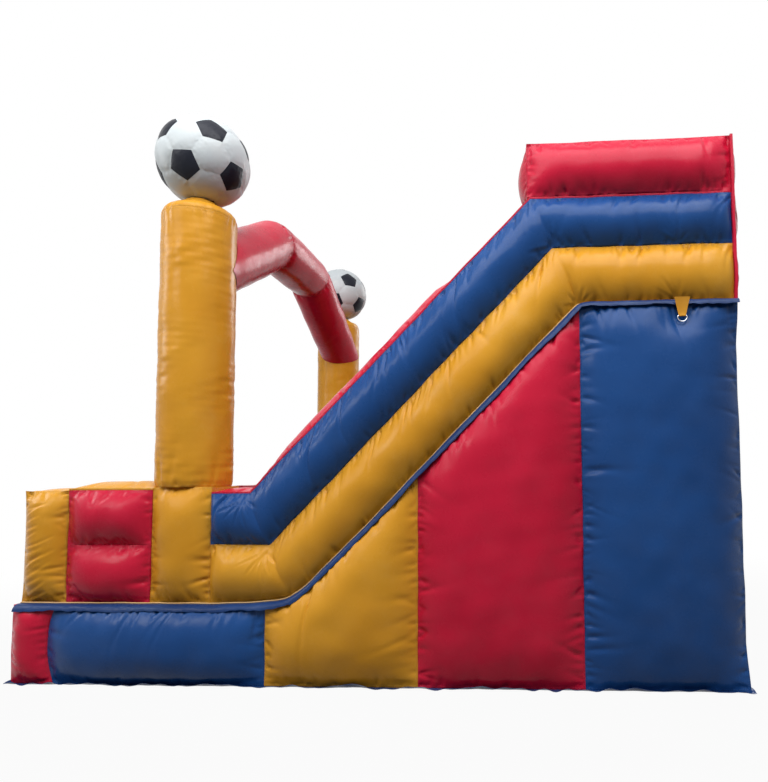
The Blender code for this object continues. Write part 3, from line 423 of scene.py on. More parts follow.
class Nodes:
    """Short calls for the nodes of a material or of the world."""

    def __init__(self, owner, shader="Principled BSDF"):
        owner.use_nodes = True
        self.tree = owner.node_tree
        self.shader = self.tree.nodes[shader]
        self.placed = None

    def add(self, kind, inputs=None, out=0, **settings):
        node = self.tree.nodes.new("ShaderNode" + kind)
        for key, value in settings.items():
            setattr(node, key, value)
        for key, value in (inputs or {}).items():
            self.put(node.inputs[key], value)
        return node.outputs[out]

    def put(self, socket, value):
        if isinstance(value, bpy.types.NodeSocket):
            self.tree.links.new(value, socket)
        else:
            socket.default_value = value

    def finish(self, inputs):
        for key, value in inputs.items():
            self.put(self.shader.inputs[key], value)

    def math(self, operation, *values):
        return self.add("Math", dict(enumerate(values)), operation=operation)

    def place(self, kind="Object"):
        if self.placed is None:
            self.placed = self.add("TexCoord", out=kind)
        return self.placed

    def noise(self, scale, detail, rough=0.55, distortion=0.0):
        inputs = {"Scale": scale, "Detail": detail, "Roughness": rough,
                  "Distortion": distortion, "Vector": self.place()}
        return self.add("TexNoise", inputs, "Fac")

    def ramp(self, value, low, high, start=0.0, end=1.0, smooth=True):
        inputs = {"Value": value, "From Min": low, "From Max": high, "To Min": start,
                  "To Max": end}
        kind = "SMOOTHSTEP" if smooth else "LINEAR"
        return self.add("MapRange", inputs, "Result", interpolation_type=kind)

    def mix(self, factor, first, second):
        return self.add("Mix", {"Factor": factor, 6: first, 7: second}, 2, data_type="RGBA")

    def bump(self, height, distance, strength, before=None):
        inputs = {"Strength": strength, "Distance": distance, "Height": height}
        if before:
            inputs["Normal"] = before
        return self.add("Bump", inputs, "Normal")

    def split(self, vector):
        return self.add("SeparateXYZ", {0: vector}).node.outputs

    def seen(self):
        """One for the rays that show the background, straight, mirrored or through glass."""
        rays = self.add("LightPath").node.outputs
        shiny = self.math("MAXIMUM", rays["Is Glossy Ray"], rays["Is Transmission Ray"])
        return self.math("MAXIMUM", rays["Is Camera Ray"], shiny)


def add_stitches(n, tone, normal, shade, pale):
    """Two rows of stitches and a groove along a panel's seams, with painted shade darkening the
    groove.
    """
    near, far = (n.split(n.add("UVMap", uv_map=label)) for label in ("near", "far"))
    edge = n.math("MINIMUM", n.math("MINIMUM", near[0], far[0]),
                  n.math("MINIMUM", near[1], far[1]))
    along = n.math("ADD", near[0], near[1])
    dash = n.ramp(n.math("PINGPONG", along, 0.0045), 0.0012, 0.0020)
    rows = []
    for place in (0.006, 0.013):
        off = n.math("ABSOLUTE", n.math("SUBTRACT", edge, place))
        rows.append(n.ramp(off, 0.0008, 0.0016, 1.0, 0.0))
    thread = n.math("MULTIPLY", n.math("MAXIMUM", *rows), dash)
    tone = n.mix(n.math("MULTIPLY", thread, 0.45), tone, (*pale, 1))
    # Painted shade: the colour darkens into the groove along each seam, besides the bump that
    # sinks it
    groove_and_painted_shade = n.ramp(edge, 0.0, 0.011, 1.0, 0.0)
    tone = n.mix(n.math("MULTIPLY", groove_and_painted_shade, 0.35), tone, (*shade, 1))
    return tone, n.bump(n.math("SUBTRACT", thread, groove_and_painted_shade), 0.002, 0.6, normal)


def coated_fabric(name, slot, colour, shade, pale, roughness=0.26, stitched=True, metallic=0.0):
    """Glossy coated cloth: a colour that varies a little, dust, fine wrinkles and seams, whose
    grooves carry painted shade.
    """
    made = bpy.data.materials.new(name)
    made["part_slot"] = slot
    n = Nodes(made)
    broad = n.ramp(n.noise(1.6, 4), 0.35, 0.68)
    tone = n.mix(n.math("MULTIPLY", broad, 0.55), (*colour, 1), (*shade, 1))
    dusty = n.ramp(n.noise(2.2, 6, 0.72), 0.5, 0.85, 0.0, 0.3)
    tone = n.mix(dusty, tone, (*pale, 1))
    normal = n.bump(n.noise(11.0, 4, 0.5, 0.4), 0.0018, 0.3)
    normal = n.bump(n.noise(70.0, 3, 0.6), 0.0005, 0.3, normal)
    if stitched:
        tone, normal = add_stitches(n, tone, normal, shade, pale)
    gloss = n.ramp(n.noise(5.0, 5, 0.65), 0.3, 0.75, roughness * 0.75, roughness * 1.5)
    n.finish({"Base Color": tone, "Roughness": gloss, "Normal": normal,
              "Specular IOR Level": 0.14, "Metallic": metallic})
    return made


BLUES = ((0.010, 0.058, 0.205), (0.006, 0.040, 0.15), (0.028, 0.085, 0.25))
YELLOW = coated_fabric("yellow_cloth", "yellow", (0.60, 0.28, 0.022), (0.53, 0.225, 0.012),
                       (0.68, 0.41, 0.11))
RED = coated_fabric("red_cloth", "red", (0.50, 0.009, 0.036), (0.42, 0.006, 0.027),
                    (0.53, 0.040, 0.080))
BLUE = coated_fabric("blue_cloth", "blue", *BLUES)
NAVY = coated_fabric("navy_cloth", "navy", (0.006, 0.020, 0.075), (0.004, 0.012, 0.045),
                     (0.05, 0.07, 0.13), 0.45, False)
FLAP_BLUE = coated_fabric("flap_cloth", "blue", (0.010, 0.036, 0.13), (0.006, 0.020, 0.075),
                          (0.09, 0.16, 0.33), 0.3, False)
BLUE_PLAIN = coated_fabric("plain_blue_cloth", "blue", *BLUES, 0.3, False)
ORANGE = coated_fabric("piping_cloth", "yellow", (0.66, 0.44, 0.20), (0.50, 0.28, 0.09),
                       (0.8, 0.62, 0.40), 0.35, False)
WHITE = coated_fabric("white_cloth", "white", (0.52, 0.56, 0.57), (0.42, 0.46, 0.48),
                      (0.52, 0.50, 0.44), 0.34, False)
DARK = coated_fabric("dark_cloth", "white", (0.012, 0.014, 0.022), (0.006, 0.007, 0.012),
                     (0.08, 0.08, 0.09), 0.34, False)
WEBBING = coated_fabric("strap_webbing", "webbing", (0.64, 0.30, 0.03), (0.45, 0.18, 0.015),
                        (0.75, 0.5, 0.2), 0.6, False)
STEEL = coated_fabric("ring_steel", "steel", (0.60, 0.60, 0.62), (0.42, 0.42, 0.43),
                      (0.5, 0.46, 0.4), 0.25, False, metallic=1.0)


# Base and tower

def bow_seam(points):
    """The seam behind the step tube, which bows forwards between the ledge and the ground."""
    share = np.clip(points[..., 2] / BASE_HEIGHT, 0, 1)
    near = np.exp(-(((points[..., 0] - STEP_SEAM_X) / 0.22) ** 2))
    outside = np.clip((np.abs(points[..., 1]) - WALL_INNER) / 0.4, 0, 1)
    points[..., 0] -= 0.055 * (1 - (2 * share - 1) ** 2) * near * outside
    return points


def round_rear(points):
    """The tower's sides, which turn in towards its rear seams."""
    share = np.clip((points[..., 0] - 2.0) / 0.45, 0, 1)
    top = np.clip((PLATFORM_HEIGHT - points[..., 2]) / 0.3, 0, 1)
    level = np.clip(points[..., 2] / 0.3, 0, 1) * top
    points[..., 1] *= 1 - 0.034 * share**2 * level
    return points


def level_patch(points):
    """Nothing in the band of the rear face that carries the zip and the sleeve, else one."""
    middle = 0.40
    high = np.clip((np.abs(points[..., 2] - middle) - 0.18) / 0.08, 0, 1)
    wide = np.clip((np.abs(points[..., 1]) - 1.5) / 0.1, 0, 1)
    return np.maximum(high, wide)


def base_swell(x, z, roof, share, start, end):
    """How far a base panel swells, with a dip round the anchor ring."""
    width = end - start
    roll = min(PANEL_ROLL, 0.5 * width, 0.5 * float(roof.max()))
    swell = BASE_SWELL * puffed(x - start, end - x, min(roll, END_ROLL))
    swell = swell * puffed(z - FLOOR, roof[:, None] - z, roll)
    swell += BASE_BULGE * crown((x - start) / width) * crown(share[None], 2.4)
    pull = ((x - TAB_X) / 0.13) ** 2 + ((z - TAB_Z) / 0.12) ** 2
    return swell * (1 - 0.75 * np.exp(-pull))


def base_chamber(name, node, finish, stations, seed, open_rear=False):
    """A base chamber between two upright seams, closed by a roof that follows the slope."""
    start, end = stations[0] + GAP, stations[-1] - GAP
    runs = [np.linspace(a, b, counts(b - a, FINE))[:-1] for a, b in zip(stations, stations[1:])]
    xs = np.concatenate(runs + [[end]])
    xs[0] = start
    roof = roof_height(xs)
    share = np.linspace(0, 1, counts(float(np.median(roof)), FINE))
    x = np.repeat(xs[:, None], len(share), 1)
    z = FLOOR + (roof[:, None] - FLOOR) * share[None]
    swell = base_swell(x, z, roof, share, start, end)
    folds = {"all": puckers(0.045, 0.10, 0.0065), "v0": puckers(0.05, 0.05, 0.005),
             "v1": puckers(0.04, 0.11, 0.009)}
    panels = []
    for number, sign in enumerate(SIDES.values()):
        grid = grid_of(x, sign * (BASE_HALF_WIDTH + swell), z)
        panels.append(panel(grid, (0, sign, 0), seed + number, folds))
    steps = counts(2 * BASE_HALF_WIDTH, 0.06)
    across = np.linspace(-BASE_HALF_WIDTH, BASE_HALF_WIDTH, steps)
    for height in (np.full(len(xs), FLOOR), roof):
        panels.append(plain(grid_of(xs[:, None], across[None], height[:, None])))
    for x_end, top in ((start, roof[0]), (end, roof[-1])):
        puckered = open_rear and x_end == end
        ys = across
        if puckered:
            ys = np.linspace(-BASE_HALF_WIDTH, BASE_HALF_WIDTH, (steps - 1) * 4 + 1)
        grid = grid_of(x_end, ys[:, None], (FLOOR + (top - FLOOR) * share)[None])
        made = plain(grid)
        if puckered:
            made = panel(grid, (1, 0, 0), seed + 7, {"all": puckers(0.06, 0.11, 0.009)})
            made[0][..., 0] = x_end + (made[0][..., 0] - x_end) * level_patch(made[0])
        panels.append(made)
    panels = [(round_rear(bow_seam(grid)), near, far) for grid, near, far in panels]
    air_piece(node, finish, panels, name, bends=True)


def make_base():
    base_chamber("landing_air_bed", "landing_chamber", BLUE, [STEP_SEAM_X, LANDING_END_X], 100)
    base_chamber("slope_air_bed_low", "slope_chamber_low", YELLOW,
                 [LANDING_END_X, SLOPE_FOOT_X, SLOPE_SEAM_X], 120)
    base_chamber("slope_air_bed_high", "slope_chamber_high", RED, [SLOPE_SEAM_X, SLOPE_TOP_X],
                 140)
    base_chamber("tower_air_bed", "tower_chamber", BLUE, [SLOPE_TOP_X, REAR_X], 160,
                 open_rear=True)
    low = (FRONT_X - 0.02, -BASE_HALF_WIDTH, FLOOR)
    high = (STEP_SEAM_X - GAP, BASE_HALF_WIDTH, BASE_HEIGHT)
    swells = {"front": 0.015, "right": BASE_SWELL, "left": BASE_SWELL}
    panels = pillow_panels(low, high, swells, 180)
    panels = [(bow_seam(grid), near, far) for grid, near, far in panels]
    air_piece("front_step_tube", RED, panels, "step_tube_skin")


# Side walls, swept along the line that they stand on

def wall_corners(start):
    """X, Z and lean of the mitre at each corner of the line."""
    return [(start, BASE_HEIGHT, 0.0), (SLOPE_FOOT_X, BASE_HEIGHT, MITRE),
            (SLOPE_TOP_X, PLATFORM_HEIGHT, MITRE), (REAR_X, PLATFORM_HEIGHT, 0.0)]


WALL_CORNERS = wall_corners(WALL_START_X)
LEDGE_CORNERS = wall_corners(FRONT_X)


def wall_stations(corners, spacing):
    """Segment of each station along the line, and its share of the way along that segment."""
    segments, shares = [], []
    for number, (a, b) in enumerate(zip(corners, corners[1:])):
        steps = counts(math.hypot(b[0] - a[0], b[1] - a[1]), spacing)
        shares.append(np.linspace(0, 1, steps)[:-1])
        segments.append(np.full(steps - 1, number))
    segments = np.concatenate(segments + [[len(corners) - 2]])
    return segments.astype(int), np.concatenate(shares + [[1.0]])


def wall_points(corners, segments, shares, heights):
    """X and Z of stations at heights above the line, mitred at its bends."""
    corners = np.array(corners)
    a, b = corners[segments], corners[segments + 1]
    height = np.asarray(heights)[None]
    ax, bx = a[:, :1] + a[:, 2:] * height, b[:, :1] + b[:, 2:] * height
    az, bz = a[:, 1:2] + height, b[:, 1:2] + height
    share = shares[:, None]
    return ax + (bx - ax) * share, az + (bz - az) * share


def bend_fade(corners, segments, shares):
    """Share of the full swell at each station: less at the mitred bends and at both ends."""
    dip, dip_reach, end_reach = 0.28, 0.07, 0.10
    lengths = [math.hypot(b[0] - a[0], b[1] - a[1]) for a, b in zip(corners, corners[1:])]
    starts = np.concatenate([[0], np.cumsum(lengths)])
    place = starts[segments] + shares * np.array(lengths)[segments]
    fade = np.ones(len(place))
    for corner in starts[1:-1]:
        fade -= dip * np.exp(-np.abs(place - corner) / dip_reach)
    for away in (place, starts[-1] - place):
        fade *= 1 - np.exp(-away / end_reach * 2)
    return fade


def cap_fade(corners, segments, shares):
    """The cap crowns only along the slope, as it lies flat at its foot and under the guard."""
    corners = np.array(corners)
    x = corners[segments, 0] + (corners[segments + 1, 0] - corners[segments, 0]) * shares
    foot = 0.3 + 0.7 * np.clip((x - SLOPE_FOOT_X) / 0.25, 0, 1)
    return foot * (1 - np.clip((x - 0.72) / 0.2, 0, 1))


def outline_strips(points, dressed):
    """Strips round a closed outline of (depth, height) corners, some with swell and puckers."""
    strips = []
    for number, (start, end) in enumerate(zip(points, points[1:] + points[:1])):
        way = np.sign(np.subtract(end, start))
        swell, folds = dressed.get(number, (0, None))
        strips.append((start, end, swell, (way[1], -way[0]), folds))
    return strips


def cap_strips(foot, top, swell, folds):
    """A cloth strip over the top of a wall, with a lining down the wall's inner side."""
    lip, split = top + CAP_LIP, WALL_SPLIT - GAP
    points = [(WALL_OUTER, lip), (WALL_INNER, lip), (WALL_INNER, foot), (split, foot),
              (split, top), (WALL_OUTER, top)]
    return outline_strips(points, {0: (swell, folds), 1: (INNER_SWELL, folds)})


def wall_panels(side, strips, seed, corners=WALL_CORNERS, fade_more=None):
    """Panels swept along the line between (depth, height) points, each with its swell."""
    sign = SIDES[side]
    segments, shares = wall_stations(corners, FINE)
    fade = bend_fade(corners, segments, shares)
    if fade_more:
        fade = fade * fade_more(corners, segments, shares)
    panels = []
    for number, (start, end, swell, outward, folds) in enumerate(strips):
        size = math.hypot(end[0] - start[0], end[1] - start[1])
        share = np.linspace(0, 1, counts(size, FINE if folds else COARSE))
        depth = start[0] + (end[0] - start[0]) * share
        height = start[1] + (end[1] - start[1]) * share
        x, z = wall_points(corners, segments, shares, height)
        lift = fade[:, None] * (swell * crown(share))[None]
        if outward[1]:
            x2, z2 = wall_points(corners, segments, shares, height + 1)
            x, z = x + (x2 - x) * lift * outward[1], z + (z2 - z) * lift * outward[1]
        grid = grid_of(x, sign * (depth[None] + lift * outward[0]), z)
        if folds:
            out = (0, sign * outward[0], outward[1])
            creases = bend_creases(grid, segments, seed) if number == 0 else ()
            panels.append(panel(grid, out, seed + number, folds, creases, ("v0", "v1")))
        else:
            panels.append(plain(grid))
    outlines = [[made[0][index] for made in panels] for index in (0, -1)]
    return panels + [end_panel(outline) for outline in outlines]


def bend_creases(grid, segments, seed):
    """Creases that spread from the inner corners of the two bends, and from the anchor tab."""
    if segments.max() < 2:
        return ()
    rng = np.random.default_rng(seed)
    u, height = lengths_along(grid, 0), lengths_along(grid, 1)[0, -1]
    foot, top = np.argmax(segments == 1), np.argmax(segments == 2)
    tab = np.argmin(np.abs(grid[:, 0, 0] - TAB_X))
    bend = (-58, -30, -12, 6, 24, 50), (0.25, 0.65), (0.004, 0.008)
    pull = (-52, -28, -8, 16, 40), (0.2, 0.5), (0.003, 0.006)
    fans = (((u[foot, -1], height), -1, *bend), ((u[top, 0], 0.0), 1, *bend),
            ((u[tab, 0], 0.0), 1, *pull))
    creases = []
    for (across, up), way, angles, reaches, depths in fans:
        for angle in angles:
            turn = math.radians(angle + rng.uniform(-5, 5))
            reach = height * rng.uniform(*reaches)
            ends = [(across + r * math.sin(turn), up + way * r * math.cos(turn))
                    for r in (0.012, reach)]
            creases.append((*ends, rng.uniform(0.006, 0.010), rng.uniform(*depths)))
    return creases


def make_wall(side):
    """The two stacked tubes of a side wall, and the cap that lines them."""
    folds = {"all": puckers(0.042, 0.06, 0.007), "v1": puckers(0.038, 0.09, 0.011)}
    seed = 200 if side == "right" else 260
    top = LOWER_TUBE - GAP
    lower = [(WALL_OUTER, GAP), (WALL_OUTER, top), (WALL_INNER, top), (WALL_INNER, GAP)]
    strips = outline_strips(lower, {0: (SIDE_SWELL, folds), 2: (INNER_SWELL, folds)})
    air_piece(f"wall_lower_tube_{side}", YELLOW, wall_panels(side, strips, seed), bends=True)
    top = WALL_HEIGHT - GAP
    upper = [(WALL_OUTER, LOWER_TUBE), (WALL_OUTER, top), (WALL_SPLIT, top),
             (WALL_SPLIT, LOWER_TUBE)]
    strips = outline_strips(upper, {0: (SIDE_SWELL, folds)})
    air_piece(f"wall_upper_tube_{side}", BLUE, wall_panels(side, strips, seed + 10))
    strips = cap_strips(LOWER_TUBE, WALL_HEIGHT, 0.08, folds)
    air_piece(f"wall_cap_{side}", RED, wall_panels(side, strips, seed + 20, fade_more=cap_fade))


def make_front_cap(side, seed):
    """The strip over the low wall between a post and a column, with its inner lining."""
    low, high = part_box(f"front_wall_cap_{side}")
    corners = [(low.x, BASE_HEIGHT, 0.0), (high.x, BASE_HEIGHT, 0.0)]
    strips = cap_strips(GAP, FRONT_CAP_HEIGHT, 0.05, {"all": puckers(0.05, 0.08, 0.005)})
    air_piece(f"front_wall_cap_{side}", YELLOW, wall_panels(side, strips, seed, corners))


# Guards, back wall, posts and pillows

BOXES = (
    ("guard_tube", RED, {"outer": BOX_SWELL, "inner": 0.03, "front": 0.06, "top": 0.01},
     {"taller": 0.022}),
    ("front_post", YELLOW, {"outer": BOX_SWELL, "front": 0.02, "top": 0.02},
     {"draw": 0.006, "ahead": 0.03}),
    ("side_pillow_lower", RED, {"outer": BOX_SWELL}, {}),
    ("side_pillow_upper", RED, {"outer": BOX_SWELL}, {}),
    ("column_base", YELLOW, {"outer": BOX_SWELL, "inner": 0.03}, {}),
    ("front_pillow_lower", RED, {"front": 0.02, "rear": 0.03, "inner": 0.03}, {}),
    ("front_pillow_upper", RED, {"front": 0.02, "rear": 0.03, "inner": 0.03}, {}),
)


def make_boxes(side, seed):
    fuller = side_swells(side, {"outer": BOX_FULLER})
    for number, (name, finish, swells, more) in enumerate(BOXES):
        if name == "front_post":
            more = {**more, "creases": {side: post_folds(seed)}}
        pillow(f"{name}_{side}", finish, side_swells(side, swells), seed + 10 * number,
               fuller=fuller, folds=BOX_PUCKERS, **more)


def post_folds(seed):
    """Slanting folds across a post's outer face, rising towards the column."""
    rng = np.random.default_rng(seed)
    folds = []
    for height in np.arange(0.02, 0.72, 0.055):
        low = height + rng.uniform(-0.015, 0.015)
        start, end = rng.uniform(0.01, 0.08), rng.uniform(0.16, 0.30)
        rise = rng.uniform(0.35, 0.75) * (end - start)
        folds.append(((start, low), (end, low + rise), rng.uniform(0.007, 0.011),
                      rng.uniform(0.004, 0.008)))
    return folds


def make_back_panel():
    """The sheet of red cloth behind the tubes' ends and the platform, puffed out by each."""
    low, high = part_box("back_wall_panel")
    half, top, tube_inside = high.y, high.z + 0.018, 1.46
    ys = np.linspace(-half, half, counts(2 * half, FINE))
    zs = np.linspace(low.z, top, counts(high.z - low.z, FINE))
    y, z = np.meshgrid(ys, zs, indexing="ij")
    swell = 0.022 * crown((y / half + 1) / 2, 12) * crown((z - low.z) / (top - low.z), 3)
    side = crown(np.clip((np.abs(y) - tube_inside) / (half - tube_inside), 0, 1), 2.6)
    levels = (low.z, PLATFORM_HEIGHT + LOWER_TUBE, GUARD_FOOT, top)
    for bottom, above in zip(levels, levels[1:]):
        swell += 0.048 * side * crown(np.clip((z - bottom) / (above - bottom), 0, 1), 2.2)
    face = grid_of(low.x + 0.012 + swell, y, z)
    back = grid_of(low.x - 0.006, y, z)
    panels = [panel(face, (1, 0, 0), 540, {"all": puckers(0.04, 0.08, 0.006)}), plain(back)]
    air_piece("back_wall_panel", RED, panels + rims(face, back, 0.3), "back_panel_skin")


# Columns, footballs and arch

def column_profile(foot):
    """Radius and height of a column from its foot, over its shoulder, to the ball's seat."""
    profile = [(0.0005, foot), (COLUMN_RADIUS - 0.012, foot), (COLUMN_RADIUS, foot + 0.04),
               (COLUMN_RADIUS, COLUMN_SHOULDER)]
    for angle in np.radians(np.arange(10, 91, 10)):
        profile.append((COLUMN_RADIUS - SHOULDER_ROUND * (1 - math.cos(angle)),
                        COLUMN_SHOULDER + SHOULDER_ROUND * math.sin(angle)))
    profile += [(COLUMN_SEAT, COLUMN_TOP - 0.006), (0.0005, COLUMN_TOP)]
    profile = np.array(profile)
    steps = np.linalg.norm(np.diff(profile, axis=0), axis=1)
    lengths = np.concatenate([[0], np.cumsum(steps)])
    fine = np.linspace(0, lengths[-1], counts(lengths[-1], FINE))
    return [np.interp(fine, lengths, part) for part in profile.T]


def make_column(side, seed):
    """A round chamber, with puckers at both its seams."""
    foot = COLUMN_BASE_TOP + GAP
    radius, height = column_profile(foot)
    turn = np.linspace(0, 2 * math.pi, 151)[:, None]
    out = grid_of(np.cos(turn), np.sin(turn), 0 * radius)
    grid = grid_of(COLUMN_X + radius * np.cos(turn),
                   SIDES[side] * COLUMN_Y + radius * np.sin(turn), height)
    along = turn * radius.max() + 0 * radius
    from_foot = np.abs(height - foot) + 0 * along
    from_top = np.abs(COLUMN_SHOULDER + 0.07 - height) + 0 * along
    total = fold_relief(along, from_foot, seam_folds(along.max(), seed, 0.06, 0.12, 0.006))
    total += fold_relief(along, from_top, seam_folds(along.max(), seed + 1, 0.05, 0.16, 0.007))
    total[-1] = total[0]
    total += 0.0006 * wobble(grid * (1, 1, 0.35), 0.12, seed + 3)
    patchy = 0.6 + 0.5 * wobble(grid, 0.6, seed + 5)
    total += 0.0009 * wobble(grid * (0.22, 0.22, 1), 0.055, seed + 4) * patchy
    total *= np.clip((radius - COLUMN_SEAT) / 0.1, 0, 1)
    near = np.stack([0.5 + along, from_foot], 2)
    far = np.stack([9.0 + 0 * along, np.abs(height - COLUMN_SHOULDER) + 0 * along], 2)
    air_piece(f"column_{side}", YELLOW, [(grid + out * total[..., None], near, far)])


def ball_panels():
    """Points of a ball of radius one, each with its share of the way in from its panel's seam.

    A third is cut off each edge of a 20-face ball, which leaves 12 dark and 20 white panels.
    """
    bm = bmesh.new()
    bmesh.ops.create_icosphere(bm, subdivisions=1, radius=1.0)
    bmesh.ops.bevel(bm, geom=bm.verts[:], offset=100 / 3, offset_type="PERCENT",
                    affect="VERTICES", segments=1, clamp_overlap=False)
    bmesh.ops.remove_doubles(bm, verts=bm.verts[:], dist=1e-4)
    turn = Matrix.Rotation(math.radians(-88.2), 3, "Z") @ Matrix.Rotation(
        math.radians(119.3), 3, "Y") @ Matrix.Rotation(math.radians(-2.9), 3, "Z")
    steps = 14
    points, faces, dark, inward = [], [], [], []
    for face in bm.faces:
        corners = np.array([v.co for v in face.verts]) @ np.array(turn).T
        centre = corners.mean(0)
        for a, b in zip(corners, np.roll(corners, -1, 0)):
            base, index = len(points), {}
            for i in range(steps + 1):
                for j in range(steps + 1 - i):
                    edge = a + (b - a) * (j / (steps - i) if steps > i else 0)
                    points.append(edge + (centre - edge) * (i / steps))
                    inward.append(i / steps)
                    index[i, j] = base + len(index)
            for i in range(steps):
                for j in range(steps - i):
                    faces.append((index[i, j], index[i, j + 1], index[i + 1, j]))
                    if j < steps - i - 1:
                        faces.append((index[i, j + 1], index[i + 1, j + 1], index[i + 1, j]))
            dark += [len(corners) == 5] * (len(faces) - len(dark))
    bm.free()
    points = np.array(points)
    return points / np.linalg.norm(points, axis=1, keepdims=True), faces, dark, np.array(inward)


def make_football(side):
    """A ball of panels that are slightly domed between their seams, flat on the column."""
    points, faces, dark, inward = ball_panels()
    relief = -0.006 + 0.006 * (1 - (1 - inward) ** 3)
    relief += 0.0006 * wobble(points * BALL_RADIUS, 0.16, 77)
    relief += 0.0011 * (wobble(points * BALL_RADIUS, 0.032, 78) * np.exp(-inward / 0.30)
                        * np.clip(inward / 0.08, 0, 1))
    points = points * (BALL_RADIUS + relief)[:, None]
    points += (BALL_X, SIDES[side] * COLUMN_Y, BALL_Z)
    points[:, 2] = np.maximum(points[:, 2], COLUMN_TOP + GAP)
    name = f"football_{side}_skin"
    mesh = bpy.data.meshes.new(name)
    mesh.from_pydata(points.tolist(), [], faces)
    mesh.polygons.foreach_set("material_index", np.array(dark, dtype=np.int32))
    close_seams(mesh, 2e-4)
    finish_piece(name, mesh, [WHITE, DARK], [f"football_{side}"], sharp=80)


def arch_section(start, end, open_ends, seed):
    """One straight length of the arch between rings of (y, z), pinched at its mitred seams."""
    turn = np.linspace(0, 2 * math.pi, 121)
    length = math.hypot(np.mean(end[0] - start[0]), np.mean(end[1] - start[1]))
    share = np.linspace(0, 1, counts(length, FINE))[:, None]
    y, z = (a[None] + (b - a)[None] * share for a, b in zip(start, end))
    grid = grid_of(ARCH_X + ARCH_RADIUS * np.cos(turn)[None], y, z)
    out = grid - grid[:, :-1].mean(1)[:, None]
    out /= np.linalg.norm(out, axis=2, keepdims=True)
    away = np.minimum(np.where(open_ends[0], 9, share * length),
                      np.where(open_ends[1], 9, (1 - share) * length)) + 0 * y
    around = turn[None] * ARCH_RADIUS + 0 * y
    total = -0.055 * ARCH_RADIUS * np.exp(-away / 0.035)
    total += 0.012 * ARCH_RADIUS * crown(share, 2.2)
    total += fold_relief(around, away, seam_folds(around.max(), seed, 0.05, 0.08, 0.007))
    total[:, -1] = total[:, 0]
    near = np.stack([away, around + 0.5], 2)
    return grid + out * total[..., None], near, near + 0.3


def arch_end(edge):
    """The hidden end of the arch, which lies against a column's round side."""
    middle = edge[:-1].mean(0)
    rows = np.stack([edge + (middle - edge) * share for share in np.linspace(0, 1, 8)], 1)
    reach = (COLUMN_RADIUS + 0.003) ** 2 - (rows[..., 0] - COLUMN_X) ** 2
    hidden = np.sign(middle[1]) * (COLUMN_Y - np.sqrt(np.maximum(reach, 0)))
    rows[:, 1:, 1] = hidden[:, 1:]
    return bare(rows)


def make_arch():
    """A round tube with two mitred bends that runs straight into the columns' sides."""
    fall = math.atan2(ARCH_CROWN[1] - ARCH_SHOULDER[1], ARCH_SHOULDER[0] - ARCH_CROWN[0])
    turn = np.linspace(0, 2 * math.pi, 121)
    depth, lift = ARCH_RADIUS * np.cos(turn), ARCH_RADIUS * np.sin(turn)
    bend_y = ARCH_CROWN[0] + lift * math.tan(fall / 2)
    bend_z = ARCH_CROWN[1] + lift
    against = (COLUMN_RADIUS + 0.004) ** 2 - (ARCH_X + depth - COLUMN_X) ** 2
    end_y = COLUMN_Y - np.sqrt(against)
    end_z = bend_z - (end_y - bend_y) * math.tan(fall)
    rings = [(-end_y, end_z), (-bend_y, bend_z), (bend_y, bend_z), (end_y, end_z)]
    parts = []
    for number, open_ends in enumerate(((1, 0), (0, 0), (0, 1))):
        parts.append(arch_section(rings[number], rings[number + 1], open_ends, 800 + number))
    parts += [arch_end(parts[0][0][0]), arch_end(parts[2][0][-1])]
    air_piece("arch", RED, parts)


# Sheets: ledge flaps, ground sheet and inner webs

def add_sheet(name, grid, finish, nodes, body="inflatable", thickness=0.0016,
              shake=SHAKE, bends=False):
    """A thin sheet with hemmed edges."""
    offset = normals(grid) * thickness / 2
    faces = [grid + offset, grid - offset]
    near, far = plain(grid)[1:]
    panels = [(face, near, far) for face in faces] + rims(*faces, 0.001)
    made = finish_piece(name, weld(name, panels, shake, bends), [finish], nodes, body)


def add_tube(name, centre, radius, finish, bends=False):
    """A thin round cord of cloth along a line of points."""
    along = np.gradient(centre, axis=0)
    along /= np.linalg.norm(along, axis=1, keepdims=True)
    across = np.cross(along, [0.0, 1.0, 0.0])
    size = np.linalg.norm(across, axis=1, keepdims=True)
    across = np.where(size > 0.1, across / np.maximum(size, 1e-6), np.array([[1.0, 0, 0]]))
    above = np.cross(along, across)
    turn = np.linspace(0, 2 * math.pi, 9)[None, :, None]
    grid = centre[:, None] + radius * (across[:, None] * np.cos(turn)
                                       + above[:, None] * np.sin(turn))
    panels = [bare(grid), end_panel([grid[0]]), end_panel([grid[-1]])]
    return finish_piece(name, weld(name, panels, bends=bends), [finish], [])


def make_piping(name, sign):
    """The cord in the seam between the wall and its flap."""
    segments, shares = wall_stations(LEDGE_CORNERS, 0.02)
    x, z = wall_points(LEDGE_CORNERS, segments, shares, [0.008])
    centre = np.stack([x[:, 0], np.full(len(x), sign * 1.925), z[:, 0]], 1)
    return add_tube(name, centre, 0.005, ORANGE, bends=True)


def make_ledge(side):
    """The flap sewn along the foot of the walls, which hangs over the base's top seam in waves."""
    sign = SIDES[side]
    segments, shares = wall_stations(LEDGE_CORNERS, 0.012)
    profile = [(1.895, 0.002), (1.922, 0.003), (1.950, 0.004), (1.972, 0.000), (1.986, -0.010),
               (1.994, -0.022), (1.997, -0.036)]
    depth, height = np.array(profile).T
    x, z = wall_points(LEDGE_CORNERS, segments, shares, height)
    hang = np.linspace(0, 1, len(depth))[None] ** 2
    plan = np.stack([x[:, 3], 0 * x[:, 3], z[:, 3]], 1)
    loose = wobble(plan, 0.30, 500 + sign) + 0.6 * wobble(plan, 0.09, 502 + sign)
    ripple = wobble(plan, 0.07, 504 + sign)
    z = z + loose[:, None] * 0.0028 * hang
    y = depth[None] + ripple[:, None] * 0.0015 * hang
    node = f"ledge_flap_{side}"
    piping = make_piping(f"{node}_piping", sign)
    add_sheet(f"{node}_cloth", grid_of(x, sign * y, z), FLAP_BLUE, [node],
              bends=True)


